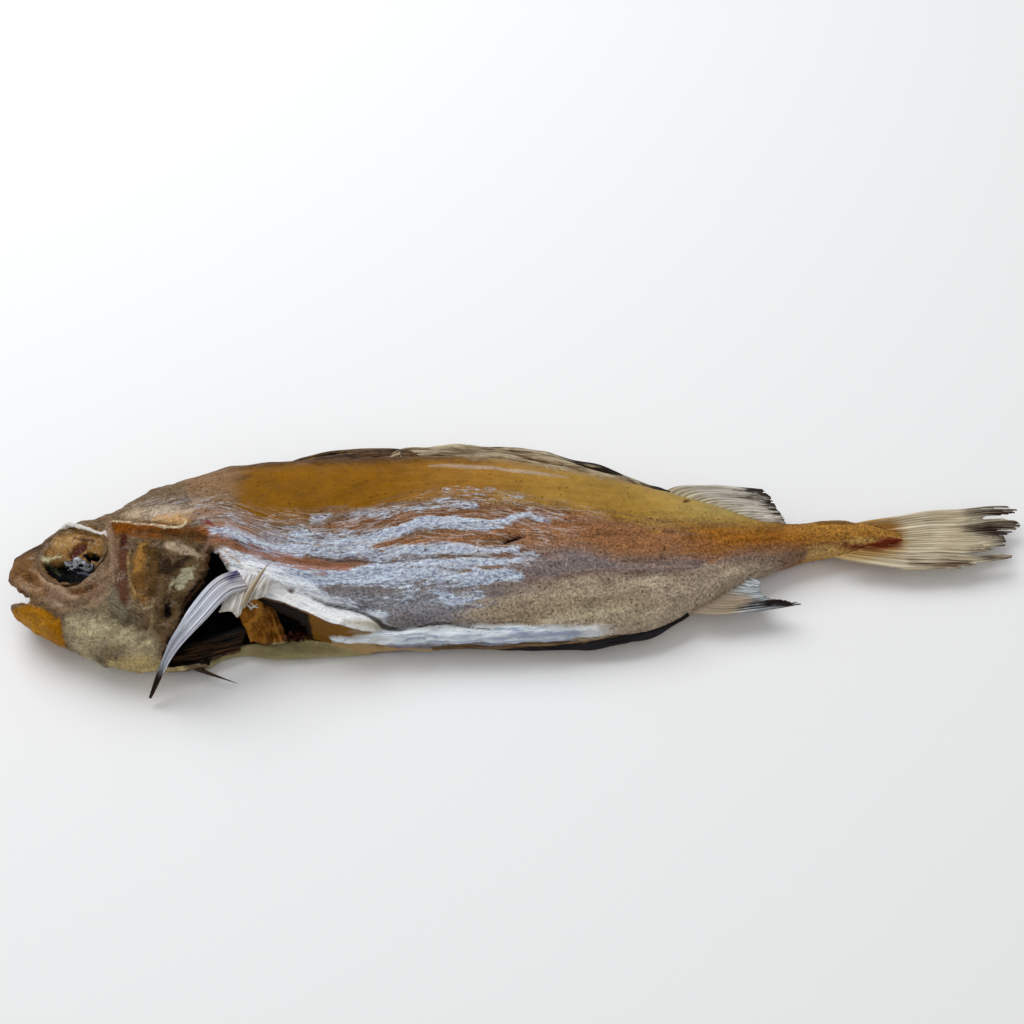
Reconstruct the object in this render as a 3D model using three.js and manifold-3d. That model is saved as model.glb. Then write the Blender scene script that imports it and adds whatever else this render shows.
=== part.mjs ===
// A dried salted pouting: a whole gutted fish with its head on, which lies on its right side.
// Millimetres, +Z up. The snout points to -X, the back to +Y and the slit belly to -Y.
// The fish is drawn in its own measures: s runs from the snout to the tail, y from belly to back.
import * as THREE from "three";
import { LoftGeometry } from "three/addons/geometries/LoftGeometry.js";
import { mergeVertices } from "three/addons/utils/BufferGeometryUtils.js";
import Module from "manifold-3d";

const wasm = await Module();
wasm.setup();

// ---- Driving dimensions ------------------------------------------------------------------

const fishLength = 262;
const fleshEnd = 231; // where the flesh of the tail stalk ends between the fin rays
const gillEdge = 53; // rear point of the gill cover
const bellyOpenEnd = 104; // the belly slit gapes from the gills back to here
const cavityStart = 33;
const cavityEnd = 166;
const snoutRadius = 2.2;
const fleshGap = 0.3; // between a fin, an eye or the innards and the flesh around it
const wall = 2.2; // dried belly wall and gill cover
const floorWall = 1.8; // belly wall that lies on the table
const slitHeight = 2.6; // the upper belly wall is cut away above this height
const throatHeight = 5.8; // and the throat above this one
const flatness = 2.5; // how far the underside is pressed flat

// ---- Curves and solids -------------------------------------------------------------------

// A smooth value along the fish through [station, value] pairs.
function along(...pairs) {
  const slope = pairs.map((pair, i) => {
    const before = pairs[Math.max(i - 1, 0)];
    const after = pairs[Math.min(i + 1, pairs.length - 1)];
    return (after[1] - before[1]) / (after[0] - before[0]);
  });
  return (s) => {
    if (s <= pairs[0][0]) return pairs[0][1];
    const i = pairs.findIndex((pair) => pair[0] >= s) - 1;
    if (i < 0) return pairs[pairs.length - 1][1];
    const [s0, v0] = pairs[i];
    const [s1, v1] = pairs[i + 1];
    const span = s1 - s0;
    const t = (s - s0) / span;
    const keep = 2 * t ** 3 - 3 * t ** 2 + 1;
    const leave = t ** 3 - 2 * t ** 2 + t;
    const arrive = t ** 3 - t ** 2;
    return keep * v0 + (1 - keep) * v1 + span * (leave * slope[i] + arrive * slope[i + 1]);
  };
}

// A smooth path through points in space, as a function of the share of it that is run.
function pathThrough(...points) {
  const curve = new THREE.CatmullRomCurve3(points.map((p) => new THREE.Vector3(...p)));
  return (share) => curve.getPoint(share);
}

// A repeatable number from 0 to 1 for each whole number, for torn edges and uneven rays.
function uneven(i) {
  const wave = Math.sin(i * 12.9898 + 4.1) * 43758.5453;
  return wave - Math.floor(wave);
}

// A closed geometry as a manifold-3d solid.
function solidFrom(geometry) {
  const bare = new THREE.BufferGeometry();
  bare.setAttribute("position", geometry.getAttribute("position"));
  bare.setIndex(geometry.index);
  const merged = mergeVertices(bare, 1e-4);
  const vertProperties = merged.attributes.position.array;
  const triVerts = new Uint32Array(merged.index.array);
  return new wasm.Manifold(new wasm.Mesh({ numProp: 3, vertProperties, triVerts }));
}

// A solid through rings of points, closed at both ends, whichever way the rings run round.
function loft(rings) {
  const middleOf = (ring) => {
    const sum = ring.reduce((total, p) => total.add(p), new THREE.Vector3());
    return sum.divideScalar(ring.length);
  };
  const start = middleOf(rings[0]);
  const facing = new THREE.Vector3();
  rings[0].forEach((p, i) => {
    const next = rings[0][(i + 1) % rings[0].length];
    facing.add(new THREE.Vector3().crossVectors(p.clone().sub(start), next.clone().sub(start)));
  });
  const ahead = middleOf(rings[1]).sub(start);
  const sections = facing.dot(ahead) > 0 ? rings : rings.map((ring) => [...ring].reverse());
  return solidFrom(new LoftGeometry(sections, { capStart: true, capEnd: true }));
}

// A thin solid between an upper and a lower grid of points, rows by columns.
function sheet(upper, lower) {
  const rows = upper.length;
  const columns = upper[0].length;
  const positions = [...upper.flat(), ...lower.flat()].flatMap((p) => [p.x, p.y, p.z]);
  const up = (j, i) => j * columns + i;
  const low = (j, i) => (rows + j) * columns + i;
  const faces = [];
  const quad = (a, b, c, d) => faces.push(a, b, c, a, c, d);
  for (let j = 0; j < rows - 1; j++) {
    for (let i = 0; i < columns - 1; i++) {
      quad(up(j, i), up(j, i + 1), up(j + 1, i + 1), up(j + 1, i));
      quad(low(j, i), low(j + 1, i), low(j + 1, i + 1), low(j, i + 1));
    }
    quad(low(j, 0), up(j, 0), up(j + 1, 0), low(j + 1, 0));
    quad(up(j, columns - 1), low(j, columns - 1), low(j + 1, columns - 1), up(j + 1, columns - 1));
  }
  for (let i = 0; i < columns - 1; i++) {
    quad(up(0, i), low(0, i), low(0, i + 1), up(0, i + 1));
    quad(low(rows - 1, i), up(rows - 1, i), up(rows - 1, i + 1), low(rows - 1, i + 1));
  }
  const geometry = new THREE.BufferGeometry();
  geometry.setAttribute("position", new THREE.Float32BufferAttribute(positions, 3));
  geometry.setIndex(faces);
  const solid = solidFrom(geometry);
  if (solid.volume() > 0) return solid;
  geometry.setIndex(faces.reverse());
  return solidFrom(geometry);
}

// The largest piece of a solid that a cut has left in several.
function largest(solid) {
  return solid.decompose().reduce((a, b) => (b.volume() > a.volume() ? b : a));
}

function meshFrom(name, solid, material) {
  const { vertProperties, triVerts } = solid.getMesh();
  const geometry = new THREE.BufferGeometry();
  geometry.setAttribute("position", new THREE.BufferAttribute(vertProperties, 3));
  geometry.setIndex(new THREE.BufferAttribute(triVerts, 1));
  geometry.computeVertexNormals();
  const mesh = new THREE.Mesh(geometry, material);
  mesh.name = name;
  return mesh;
}

// An upright cutter over an outline of [s, y] points, from one height to another.
function prism(outline, low, high) {
  const shape = new THREE.Shape(outline.map(([s, y]) => new THREE.Vector2(s, y)));
  const geometry = new THREE.ExtrudeGeometry(shape, { depth: high - low, bevelEnabled: false });
  geometry.translate(0, 0, low);
  return solidFrom(mergeVertices(geometry.deleteAttribute("normal").deleteAttribute("uv")));
}

// An ellipsoid, as a solid.
function ellipsoid(centre, radii) {
  const meridians = 18;
  const geometry = new THREE.SphereGeometry(1, meridians, meridians / 2);
  geometry.scale(...radii);
  geometry.translate(...centre);
  return solidFrom(geometry.deleteAttribute("normal").deleteAttribute("uv"));
}

// ---- The outer form of head, trunk and tail stalk ------------------------------------------

// Outline of back and belly, seen from the side.
const backEdge = along(
  [0, 5.4], [3, 7], [7.5, 8.5], [12.5, 12.3], [19, 14.3], [27, 16], [34, 21.1], [47, 25.8],
  [62, 29.1], [84, 29.5], [119, 29.4], [143, 24.8], [168, 17.2], [185, 10.3], [196, 5.2],
  [207, 5], [219, 5.2], [fleshEnd, 0.4],
);
const bellyEdge = along(
  [0, -9.6], [3, -11.8], [8, -16.2], [16.5, -20.8], [26, -25.8], [36, -27.3], [48, -26.8],
  [60, -25.2], [84, -25.1], [110, -25.1], [140, -26.1], [160, -25], [175, -19], [187, -12.2],
  [197, -7.5], [209, -4.6], [219, -4.6], [fleshEnd, -2.6],
);
// Height of the back's ridge, of the belly's edge, and of the fish's two flanks.
const backRidge = along(
  [0, 11], [20, 12], [50, 12.5], [100, 11.5], [150, 9.5], [190, 7.5], [fleshEnd, 6.2],
);
const bellyRidge = along(
  [0, 10.5], [20, 9], [40, 6.5], [60, 4.6], [100, 4.8], [140, 5.5], [175, 6.5], [fleshEnd, 6],
);
const leftFlank = along(
  [0, 13.6], [3, 15.4], [8, 17.4], [18, 20.6], [34, 23], [52, 23.6], [80, 22.2], [120, 20.2],
  [150, 17.6], [175, 14], [195, 11], [212, 9.6], [fleshEnd, 7.4],
);
const rightFlank = along(
  [0, 7.4], [3, 5.8], [8, 3.6], [18, 1.4], [34, 0], [52, 0], [150, 0], [175, 0.6], [195, 2],
  [212, 3], [fleshEnd, 4.6],
);

// Long furrows, ridges and bony lines of the left side: [s, y] paths, each with width and height.
const crest = { points: [[26, 8], [34, 5], [42, 2.6], [48, 2.2], [54, 4.4]], width: 2, height: 0.9 };
const cheekFurrow = { points: [[30, 4], [30.4, -2], [30.3, -9], [31, -16]], width: 1.6, height: -0.9 };
const gillPlate = {
  points: [[36, -3], [36, -14], [42, -12], [43, -3], [49, -5]], width: 4, height: 0.8,
};
const jawFold = { points: [[6, -4], [12, -10.6], [17, -14.4]], width: 1.5, height: -0.7 };
const sideFurrow = {
  points: [[57, -1], [66, -3.6], [78, -7.6], [95, -7.6], [118, -4]], width: 2.6, height: -0.9,
};
const muscleRidge = { points: [[66, 9], [90, 4], [120, 5], [146, 2]], width: 5, height: 0.7 };
const flapCrease = {
  points: [[60, -9], [66, -13], [76, -16.4], [87, -18.4], [96, -22]], width: 1.8, height: -1.2,
};
const features = [crest, cheekFurrow, gillPlate, jawFold, sideFurrow, muscleRidge, flapCrease];

function distanceToPath(points, s, y) {
  const spot = new THREE.Vector3(s, y, 0);
  const leg = new THREE.Line3();
  const foot = new THREE.Vector3();
  let nearest = Infinity;
  for (let i = 1; i < points.length; i++) {
    leg.start.set(...points[i - 1], 0);
    leg.end.set(...points[i], 0);
    nearest = Math.min(nearest, leg.closestPointToPoint(spot, true, foot).distanceTo(spot));
  }
  return nearest;
}

function relief(s, y) {
  return features.reduce(
    (sum, f) => sum + f.height * Math.exp(-((distanceToPath(f.points, s, y) / f.width) ** 2)),
    0,
  );
}

// The point of the skin at station s and angle turn: 0 on the back, a quarter on the left flank,
// a half on the belly's edge. grow moves the whole skin outwards.
const fullness = 0.88;

function skinPoint(s, turn, grow = 0) {
  const nose = Math.sqrt(1 - (1 - Math.min(s / snoutRadius, 1)) ** 2);
  const centre = (backEdge(s) + bellyEdge(s)) / 2;
  const half = ((backEdge(s) - bellyEdge(s)) / 2) * nose + grow;
  const across = Math.cos(turn * 2 * Math.PI);
  const out = Math.sin(turn * 2 * Math.PI);
  const y = centre + half * across;
  const middle = (backRidge(s) + bellyRidge(s)) / 2;
  const ridge = THREE.MathUtils.lerp(bellyRidge(s), backRidge(s), (across + 1) / 2);
  const swell = Math.abs(out) ** fullness * nose;
  if (out >= 0) {
    const shaped = relief(s, y) * Math.min(1, out * 2);
    return new THREE.Vector3(s, y, ridge + swell * (leftFlank(s) - middle) + shaped * nose + grow * out);
  }
  const depth = middle - rightFlank(s) + flatness;
  return new THREE.Vector3(s, y, Math.max(0, ridge - swell * depth + grow * out));
}

// Stations close together on the head, where the form changes fastest.
const headPitch = 3;
const trunkPitch = 6;
const stalkPitch = 4;
const stalkStart = 188;
const turnSteps = 28;

function stations() {
  const list = [0.05, 0.3, 0.9, 1.8];
  for (let s = headPitch; s < gillEdge + headPitch; s += headPitch) list.push(s);
  for (let s = gillEdge + trunkPitch; s < stalkStart; s += trunkPitch) list.push(s);
  for (let s = stalkStart; s < fleshEnd - stalkPitch / 2; s += stalkPitch) list.push(s);
  return [...list, fleshEnd];
}

function outerForm(grow = 0) {
  const rings = stations().map((s) =>
    Array.from({ length: turnSteps }, (_, i) => skinPoint(s, i / turnSteps, grow)),
  );
  return loft(rings);
}

// Height of the left or the right skin over the point [s, y].
function skinHeight(s, y, left) {
  const centre = (backEdge(s) + bellyEdge(s)) / 2;
  const half = (backEdge(s) - bellyEdge(s)) / 2;
  const turn = Math.acos(THREE.MathUtils.clamp((y - centre) / half, -1, 1)) / (2 * Math.PI);
  return skinPoint(s, left ? turn : 1 - turn).z;
}

// ---- Cuts: gill and belly cavity, slit, mouth, eye sockets ----------------------------------

const cavityBack = along([cavityStart, -4], [42, 0], [60, 4], [90, 4], [130, -1], [cavityEnd, -10]);
const cavityBelly = along(
  [cavityStart, -18], [40, -24], [50, -23.6], [56, -20.6], [84, -20.6], [105, -22.4],
  [140, -22.6], [cavityEnd, -19],
);

// The hollow of gills and gut: it keeps one wall's thickness from the skin on both sides. gap
// makes it smaller all round, to fit what lies inside.
function cavity(gap = 0) {
  const steps = 20;
  const around = 18;
  const boxiness = 0.38; // under 1, the section is squarer than an ellipse
  const rings = [];
  for (let i = 0; i <= steps; i++) {
    const s = THREE.MathUtils.lerp(cavityStart, cavityEnd, i / steps);
    const open = Math.max(0.12, Math.sin(Math.PI * (i / steps)) ** 0.35);
    const centre = (cavityBack(s) + cavityBelly(s)) / 2;
    const half = ((cavityBack(s) - cavityBelly(s)) / 2) * open - gap;
    const ring = [];
    for (let k = 0; k < around; k++) {
      const turn = (k / around) * 2 * Math.PI;
      const y = centre + half * Math.cos(turn);
      const top = skinHeight(s, y, true) - wall;
      const floor = skinHeight(s, y, false) + floorWall;
      const height = Math.max(0.2, ((top - floor) / 2) * open - gap);
      const side = Math.sin(turn);
      const rise = Math.sign(side) * Math.abs(side) ** boxiness;
      ring.push(new THREE.Vector3(s, y, (top + floor) / 2 + height * rise));
    }
    rings.push(ring);
  }
  return loft(rings);
}

// The gaping slit, seen from above: the torn edge of the upper belly wall, then the throat's strip,
// then the ragged rear edge of the gill cover.
const upperWallEdge = [
  [53.6, -2.8], [54.4, -4.4], [56, -7], [58.6, -10.3], [65, -15.6], [74, -19.4], [83.6, -22.8],
  [90, -24], [bellyOpenEnd, -25.6], [bellyOpenEnd + 4, -29],
];
const throatEdge = [[50.5, -24.6], [46, -25.3], [41.5, -25.6], [39.4, -26.2]];
const gillCoverEdge = [
  [41.9, -24.1], [43.9, -22.6], [46.5, -19.3], [46.2, -17], [49.1, -14.3], [51, -11.5],
  [52, -8], [52.6, -5], [gillEdge, -3.2],
];

const above = 40; // cutters end above the whole fish
const outside = -40; // and beyond its belly

function slit() {
  const mouthOfSlit = [[bellyOpenEnd, outside], [50.5, outside]];
  return prism([...upperWallEdge, ...mouthOfSlit, ...throatEdge, ...gillCoverEdge], slitHeight, above);
}

// Under the open gills only a low strip of the throat is left.
function throatCut() {
  const outline = [[43, -23.2], [40.2, -25.4], [37.4, outside], [52, outside], [52, -22]];
  return prism(outline, throatHeight, above);
}

// The bite-shaped notch in the lower belly wall, just behind the throat.
function wallNotch() {
  const bite = [[51, -25], [53.5, -22.9], [57, -21.9], [61, -22.2], [65, -23.6], [69.5, -26]];
  return prism([[50.6, outside], ...bite, [69.5, outside]], -1, slitHeight + 1);
}

// The open mouth: a wedge between the jaws, slanted from the left corner down to the right one.
function mouthGap() {
  const slant = 0.5;
  const snoutHeight = 11;
  const outline = [[-2, -1.6], [1.4, -2.2], [5, -5.2], [8.4, -9.2], [5, -9], [2, -8.1], [-2, -7.4]];
  return prism(outline, -1, above).warp((point) => {
    point[1] -= slant * (point[2] - snoutHeight);
  });
}

const socketCentre = [17.6, 1, 19.8];
const socketRadii = [9.7, 10.2, 6.2];
const farSocketCentre = [17.6, 0.4, 1.4];
const farSocketRadii = [8.6, 8.8, 4];

// ---- Lips of dried skin that stand out from the cut edges ------------------------------------

// A solid lip with an oval section, along a path; width and height change with the share run.
function lip(path, width, height, steps = 12, around = 8) {
  const rings = [];
  for (let i = 0; i <= steps; i++) {
    const share = i / steps;
    const centre = path(share);
    const ahead = path(Math.min(1, share + 0.02)).sub(path(Math.max(0, share - 0.02))).normalize();
    const side = new THREE.Vector3(-ahead.y, ahead.x, 0).normalize();
    const up = new THREE.Vector3().crossVectors(ahead, side);
    rings.push(
      Array.from({ length: around }, (_, k) => {
        const turn = (k / around) * 2 * Math.PI;
        return centre
          .clone()
          .addScaledVector(side, (width(share) / 2) * Math.cos(turn))
          .addScaledVector(up, (height(share) / 2) * Math.sin(turn));
      }),
    );
  }
  return loft(rings);
}

// The upper wall's margin is turned outwards and ends behind in a thick rolled lobe.
function rolledMargin() {
  const path = pathThrough(
    [57.6, -8.6, 19.4], [65, -14.3, 17.2], [74, -18.1, 15.1], [82.5, -20.9, 12.9],
    [88, -21.4, 12.2], [94.6, -21.8, 11.6],
  );
  const width = along([0, 1.2], [0.3, 2.2], [0.6, 3.2], [0.9, 4.6], [1, 2]);
  const height = along([0, 0.8], [0.3, 1.2], [0.6, 2], [0.9, 3], [1, 1]);
  return lip(path, width, height);
}

// A strip of belly skin that runs along the edge to the anal fin; its front end hangs free.
function bellyStrip() {
  const path = pathThrough(
    [81.6, -22.6, 7.6], [90, -23.4, 8.4], [102, -23.6, 8.8], [118, -24.2, 8.6],
    [138, -25, 8.2], [158, -23.8, 7.8], [170, -20.6, 7.4],
  );
  const width = along([0, 1], [0.12, 2.4], [0.35, 4.4], [0.7, 3.4], [1, 1.2]);
  const height = along([0, 0.8], [0.12, 1.4], [0.35, 2.8], [0.7, 2.4], [1, 1]);
  return lip(path, width, height, 16);
}

// A sliver of dried eyelid that stands up over the left eye.
function browSliver(grow = 0) {
  const path = pathThrough(
    [12.4, 11, 13], [14.6, 10.9, 17.4], [19.6, 7.8, 20], [25, 4.4, 21], [28.6, 2.8, 20.6],
  );
  const width = along([0, 0.8], [0.3, 2.2], [0.7, 1.8], [1, 0.7]);
  const height = along([0, 0.8], [0.3, 1.1], [1, 0.7]);
  return lip(path, (share) => width(share) + 2 * grow, (share) => height(share) + 2 * grow, 10);
}

function carcass() {
  return largest(
    outerForm()
      .subtract(cavity())
      .subtract(slit())
      .subtract(throatCut())
      .subtract(wallNotch())
      .subtract(mouthGap())
      .subtract(ellipsoid(socketCentre, socketRadii))
      .subtract(ellipsoid(farSocketCentre, farSocketRadii))
      .add(rolledMargin())
      .add(bellyStrip())
      .add(browSliver()),
  );
}

// ---- Eyes and innards ------------------------------------------------------------------------

// A dried eyeball: it fills the bottom of its socket and is sunken in the middle.
function sunkenEye([s, y, z], radii, facing, head) {
  const [long, tall, deep] = radii;
  const ball = ellipsoid([s, y, z], radii.map((r) => r - fleshGap));
  const dentCentre = [s + 0.6, y + 1.4, z + 0.62 * facing * deep];
  const dent = ellipsoid(dentCentre, [1.25 * long, 1.25 * tall, 0.95 * deep]);
  return largest(ball.intersect(head).subtract(dent).subtract(browSliver(fleshGap)));
}

// Shrunken amber innards: a lumpy, folded mass on the floor of the belly.
function innards() {
  const path = pathThrough(
    [57, -17.6, 4.6], [62, -14.6, 6], [70, -13.8, 6.6], [80, -13.8, 6.4], [91, -15, 4.8],
  );
  const steps = 16;
  const around = 14;
  const rings = [];
  for (let i = 0; i <= steps; i++) {
    const share = i / steps;
    const centre = path(share);
    const girth = 0.8 + 6.4 * Math.sin(Math.PI * Math.min(1, share * 0.94 + 0.03)) ** 0.5;
    const ring = [];
    for (let k = 0; k < around; k++) {
      const turn = (k / around) * 2 * Math.PI;
      const fold = 1 + 0.12 * Math.sin(3 * turn + 9 * share) + 0.1 * (uneven(i * 3 + k) - 0.5);
      const side = Math.sin(turn);
      const rise = 0.66 * Math.sign(side) * Math.abs(side) ** 0.6;
      const out = new THREE.Vector3(0, Math.cos(turn), rise).multiplyScalar(girth * fold);
      ring.push(out.add(centre));
    }
    rings.push(ring);
  }
  return largest(loft(rings).intersect(cavity(fleshGap)));
}

// ---- Fins --------------------------------------------------------------------------------------

// A fin is a thin sheet from its root outwards along its rays. Between two rays it dips to the
// thinner, shorter web. place(across, out) gives its middle, facing(out) its flat side.
const webShare = 0.55;
const straightUp = () => new THREE.Vector3(0, 0, 1);

function finBlade({ rays, steps, place, facing = straightUp, rootThick, tipThick, ragged, seed }) {
  const last = 2 * (rays - 1);
  const upper = [];
  const lower = [];
  for (let j = 0; j <= steps; j++) {
    upper.push([]);
    lower.push([]);
    for (let i = 0; i <= last; i++) {
      const isWeb = i % 2 === 1;
      const reach = 1 - ragged * ((isWeb ? 1 : 0) + uneven(i + seed));
      const out = (j / steps) * reach;
      const middle = place(i / last, out);
      const half = (THREE.MathUtils.lerp(rootThick, tipThick, out) / 2) * (isWeb ? webShare : 1);
      upper[j].push(middle.clone().addScaledVector(facing(out), half));
      lower[j].push(middle.clone().addScaledVector(facing(out), -half));
    }
  }
  return sheet(upper, lower);
}

// Tail fin: a ragged brush of rays around the end of the flesh, with lobes split from each other.
function tailFin(flesh) {
  const tipStation = along(
    [0, 248], [0.1, 254], [0.2, 253], [0.28, 250], [0.4, 256], [0.6, 258], [0.78, 262.5],
    [0.86, 260], [0.93, fishLength + 2], [1, 262.5],
  );
  const place = (across, out) => {
    const rootS = 222 - 11 * Math.abs(2 * across - 1) ** 2;
    const rootY = THREE.MathUtils.lerp(-6.4, 3.2, across);
    const tipY = THREE.MathUtils.lerp(-11.2, 8.4, across);
    const spread = 1 - (1 - out) ** 2.4;
    const s = THREE.MathUtils.lerp(rootS, tipStation(across), out);
    const wave = 0.5 * Math.sin(across * 7) * out;
    return new THREE.Vector3(s, THREE.MathUtils.lerp(rootY, tipY, spread), 6.4 - 1.6 * out + wave);
  };
  const blade = finBlade({
    rays: 12, steps: 5, place, rootThick: 1.6, tipThick: 0.7, ragged: 0.04, seed: 3,
  });
  return largest(blade.subtract(flesh));
}

// A fin folded flat along the edge of the back or the belly, with its rays swept towards the tail.
function foldedFin(flesh, { from, to, sweep, edge, ridge, rise, lift, seed }) {
  const sunk = 0.8 * Math.sign(rise(0.5)); // the roots start below the skin
  const place = (across, out) => {
    const s = THREE.MathUtils.lerp(from, to, across) + sweep * out;
    const share = THREE.MathUtils.inverseLerp(from, to + sweep, s);
    return new THREE.Vector3(s, edge(s) - sunk * (1 - out) + rise(share) * out, ridge(s) + lift * out);
  };
  const blade = finBlade({ rays: 8, steps: 3, place, rootThick: 1.6, tipThick: 0.9, ragged: 0.03, seed });
  return largest(blade.subtract(flesh));
}

// A spread fin between a root line on the body's edge and a swept-back line of ray tips.
function spreadFin(flesh, { from, to, edge, ridge, tipS, tipY, rays, seed }) {
  const place = (across, out) => {
    const rootS = THREE.MathUtils.lerp(from, to, across);
    const rootY = edge(rootS) * 0.9;
    const bow = Math.sin(out * Math.PI) * 0.5;
    return new THREE.Vector3(
      THREE.MathUtils.lerp(rootS, tipS(across), out),
      THREE.MathUtils.lerp(rootY, tipY(across), out) + bow * Math.sign(rootY),
      ridge(rootS) + 0.4 * Math.sin(across * 9) * out,
    );
  };
  const blade = finBlade({ rays, steps: 3, place, rootThick: 1.3, tipThick: 0.6, ragged: 0.03, seed });
  return largest(blade.subtract(flesh));
}

// The left breast fin hangs forwards and down over the open gills, and its rays end in a dark point.
function breastFin(flesh) {
  const spine = pathThrough(
    [60.6, -12.6, 21.4], [57, -14.4, 22.6], [53.9, -17.2, 22.5], [50.1, -21.6, 21.4],
    [47.3, -24.2, 19.6], [43.2, -26.8, 15], [39.8, -29, 9], [38, -31.2, 6], [36.1, -33.1, 2.6],
  );
  const width = along(
    [0, 5], [0.2, 6.2], [0.36, 6], [0.52, 4.8], [0.66, 3], [0.76, 1.8], [0.88, 1.1], [1, 0.35],
  );
  const ahead = (out) => spine(Math.min(1, out + 0.02)).sub(spine(Math.max(0, out - 0.02))).normalize();
  const sideways = (out) => new THREE.Vector3(-ahead(out).y, ahead(out).x, 0).normalize();
  const facing = (out) => new THREE.Vector3().crossVectors(ahead(out), sideways(out));
  const place = (across, out) => {
    const crown = 0.06 * Math.sin(across * Math.PI) * width(out);
    return spine(out)
      .addScaledVector(sideways(out), width(out) * (across - 0.5))
      .addScaledVector(facing(out), crown);
  };
  const blade = finBlade({
    rays: 6, steps: 12, place, facing, rootThick: 1, tipThick: 0.6, ragged: 0.004, seed: 1,
  });
  return largest(blade.subtract(flesh));
}

// The torn rest of the same fin's web, with one loose ray that sticks up and back.
function tornWeb(flesh, fin) {
  const root = pathThrough([64.6, -12.8, 20.2], [59.6, -12.6, 20.8]);
  const tip = pathThrough([65.6, -17.8, 19.4], [55, -20.8, 19.8]);
  const place = (across, out) => root(across).lerp(tip(across), out);
  const web = finBlade({ rays: 6, steps: 3, place, rootThick: 1, tipThick: 0.6, ragged: 0.22, seed: 8 });
  const ray = lip(
    pathThrough([60.6, -18.6, 19.6], [62.4, -16.4, 21.2], [65, -13.2, 23.2], [67.5, -10.6, 25]),
    along([0, 1.4], [0.4, 1.6], [1, 0.3]),
    along([0, 1.2], [0.4, 1], [1, 0.3]),
    8,
    6,
  );
  return largest(web.add(ray).subtract(flesh).subtract(fin));
}

// The belly fin: one dark, stiff thread that points back from the throat.
function throatFin(flesh) {
  const thread = lip(
    pathThrough([47, -25.4, 3], [51, -27.3, 2.4], [57.2, -29.6, 1.2]),
    along([0, 2], [0.3, 1.4], [1, 0.3]),
    along([0, 1.4], [0.3, 1], [1, 0.3]),
    8,
    6,
  );
  return largest(thread.subtract(flesh));
}

// ---- Materials -----------------------------------------------------------------------------------

function finish(colour, roughness) {
  return new THREE.MeshStandardMaterial({ color: colour, roughness, metalness: 0 });
}

const skin = finish(0x9a7a56, 0.5);
const finSkin = finish(0xa89c86, 0.6);
const darkFin = finish(0x3a3230, 0.6);
const eyeAmber = finish(0x7a5220, 0.3);
const gutAmber = finish(0x8a5a1c, 0.35);

// ---- The fish ---------------------------------------------------------------------------------------

const flesh = outerForm(fleshGap);
const slitFlesh = flesh.subtract(slit());
const withinSkin = outerForm(-fleshGap);
const breast = breastFin(slitFlesh);
const fish = new THREE.Group();

fish.add(
  meshFrom("carcass", carcass(), skin),
  meshFrom("eye_left", sunkenEye(socketCentre, socketRadii, 1, withinSkin), eyeAmber),
  meshFrom("eye_right", sunkenEye(farSocketCentre, farSocketRadii, -1, withinSkin), eyeAmber),
  meshFrom("innards", innards(), gutAmber),
  meshFrom(
    "dorsal_fin_1",
    foldedFin(flesh, {
      from: 69, to: 96, sweep: 19, edge: backEdge, ridge: backRidge, lift: 2, seed: 11,
      rise: along([0, 1], [0.3, 3.4], [0.8, 3.9], [1, 3.6]),
    }),
    darkFin,
  ),
  meshFrom(
    "dorsal_fin_2",
    foldedFin(flesh, {
      from: 98.5, to: 152, sweep: 18, edge: backEdge, ridge: backRidge, lift: 2, seed: 23,
      rise: along([0, 3.6], [0.3, 3.7], [0.55, 3.2], [0.75, 1.9], [1, 1.1]),
    }),
    darkFin,
  ),
  meshFrom(
    "dorsal_fin_3",
    spreadFin(flesh, {
      from: 170, to: 194, edge: backEdge, ridge: backRidge, rays: 10, seed: 5,
      tipS: along([0, 171], [0.5, 187], [0.75, 195.5], [0.9, 198.6], [1, 200]),
      tipY: along([0, 19.4], [0.5, 17.2], [0.75, 15], [0.9, 9.6], [1, 5]),
    }),
    finSkin,
  ),
  meshFrom(
    "anal_fin_1",
    foldedFin(flesh, {
      from: 106, to: 158, sweep: 12, edge: bellyEdge, ridge: bellyRidge, lift: -0.6, seed: 31,
      rise: along([0, -1.6], [0.5, -2], [1, -2]),
    }),
    darkFin,
  ),
  meshFrom(
    "anal_fin_2",
    spreadFin(flesh, {
      from: 172, to: 189, edge: bellyEdge, ridge: bellyRidge, rays: 10, seed: 7,
      tipS: along([0, 174], [0.3, 184], [0.5, 194], [0.6, 200.2], [0.7, 194], [0.8, 191], [1, 190.6]),
      tipY: along(
        [0, -22.2], [0.3, -23], [0.5, -21.8], [0.6, -20.4], [0.7, -18.8], [0.8, -17], [1, -12.8],
      ),
    }),
    finSkin,
  ),
  meshFrom("caudal_fin", tailFin(flesh), finSkin),
  meshFrom("pectoral_fin", breast, finSkin),
  meshFrom("pectoral_web", tornWeb(slitFlesh, breast), finSkin),
  meshFrom("pelvic_fin", throatFin(flesh), darkFin),
);

// The origin is the middle of the fish's box, on the table.
const box = new THREE.Box3().setFromObject(fish);
const middle = box.getCenter(new THREE.Vector3());
fish.position.set(-middle.x, -middle.y, -box.min.z);
const part = new THREE.Group();
part.add(fish);

export default part;
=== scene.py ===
# A dried salted pouting: a whole gutted fish, its head on and its belly slit open, which lies on
# its right side on a pale table. Fish places are (s, y, z) in mm: s from the snout to the tail,
# y from belly to back and z up from the table. Blender itself works in metres.
import math

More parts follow.
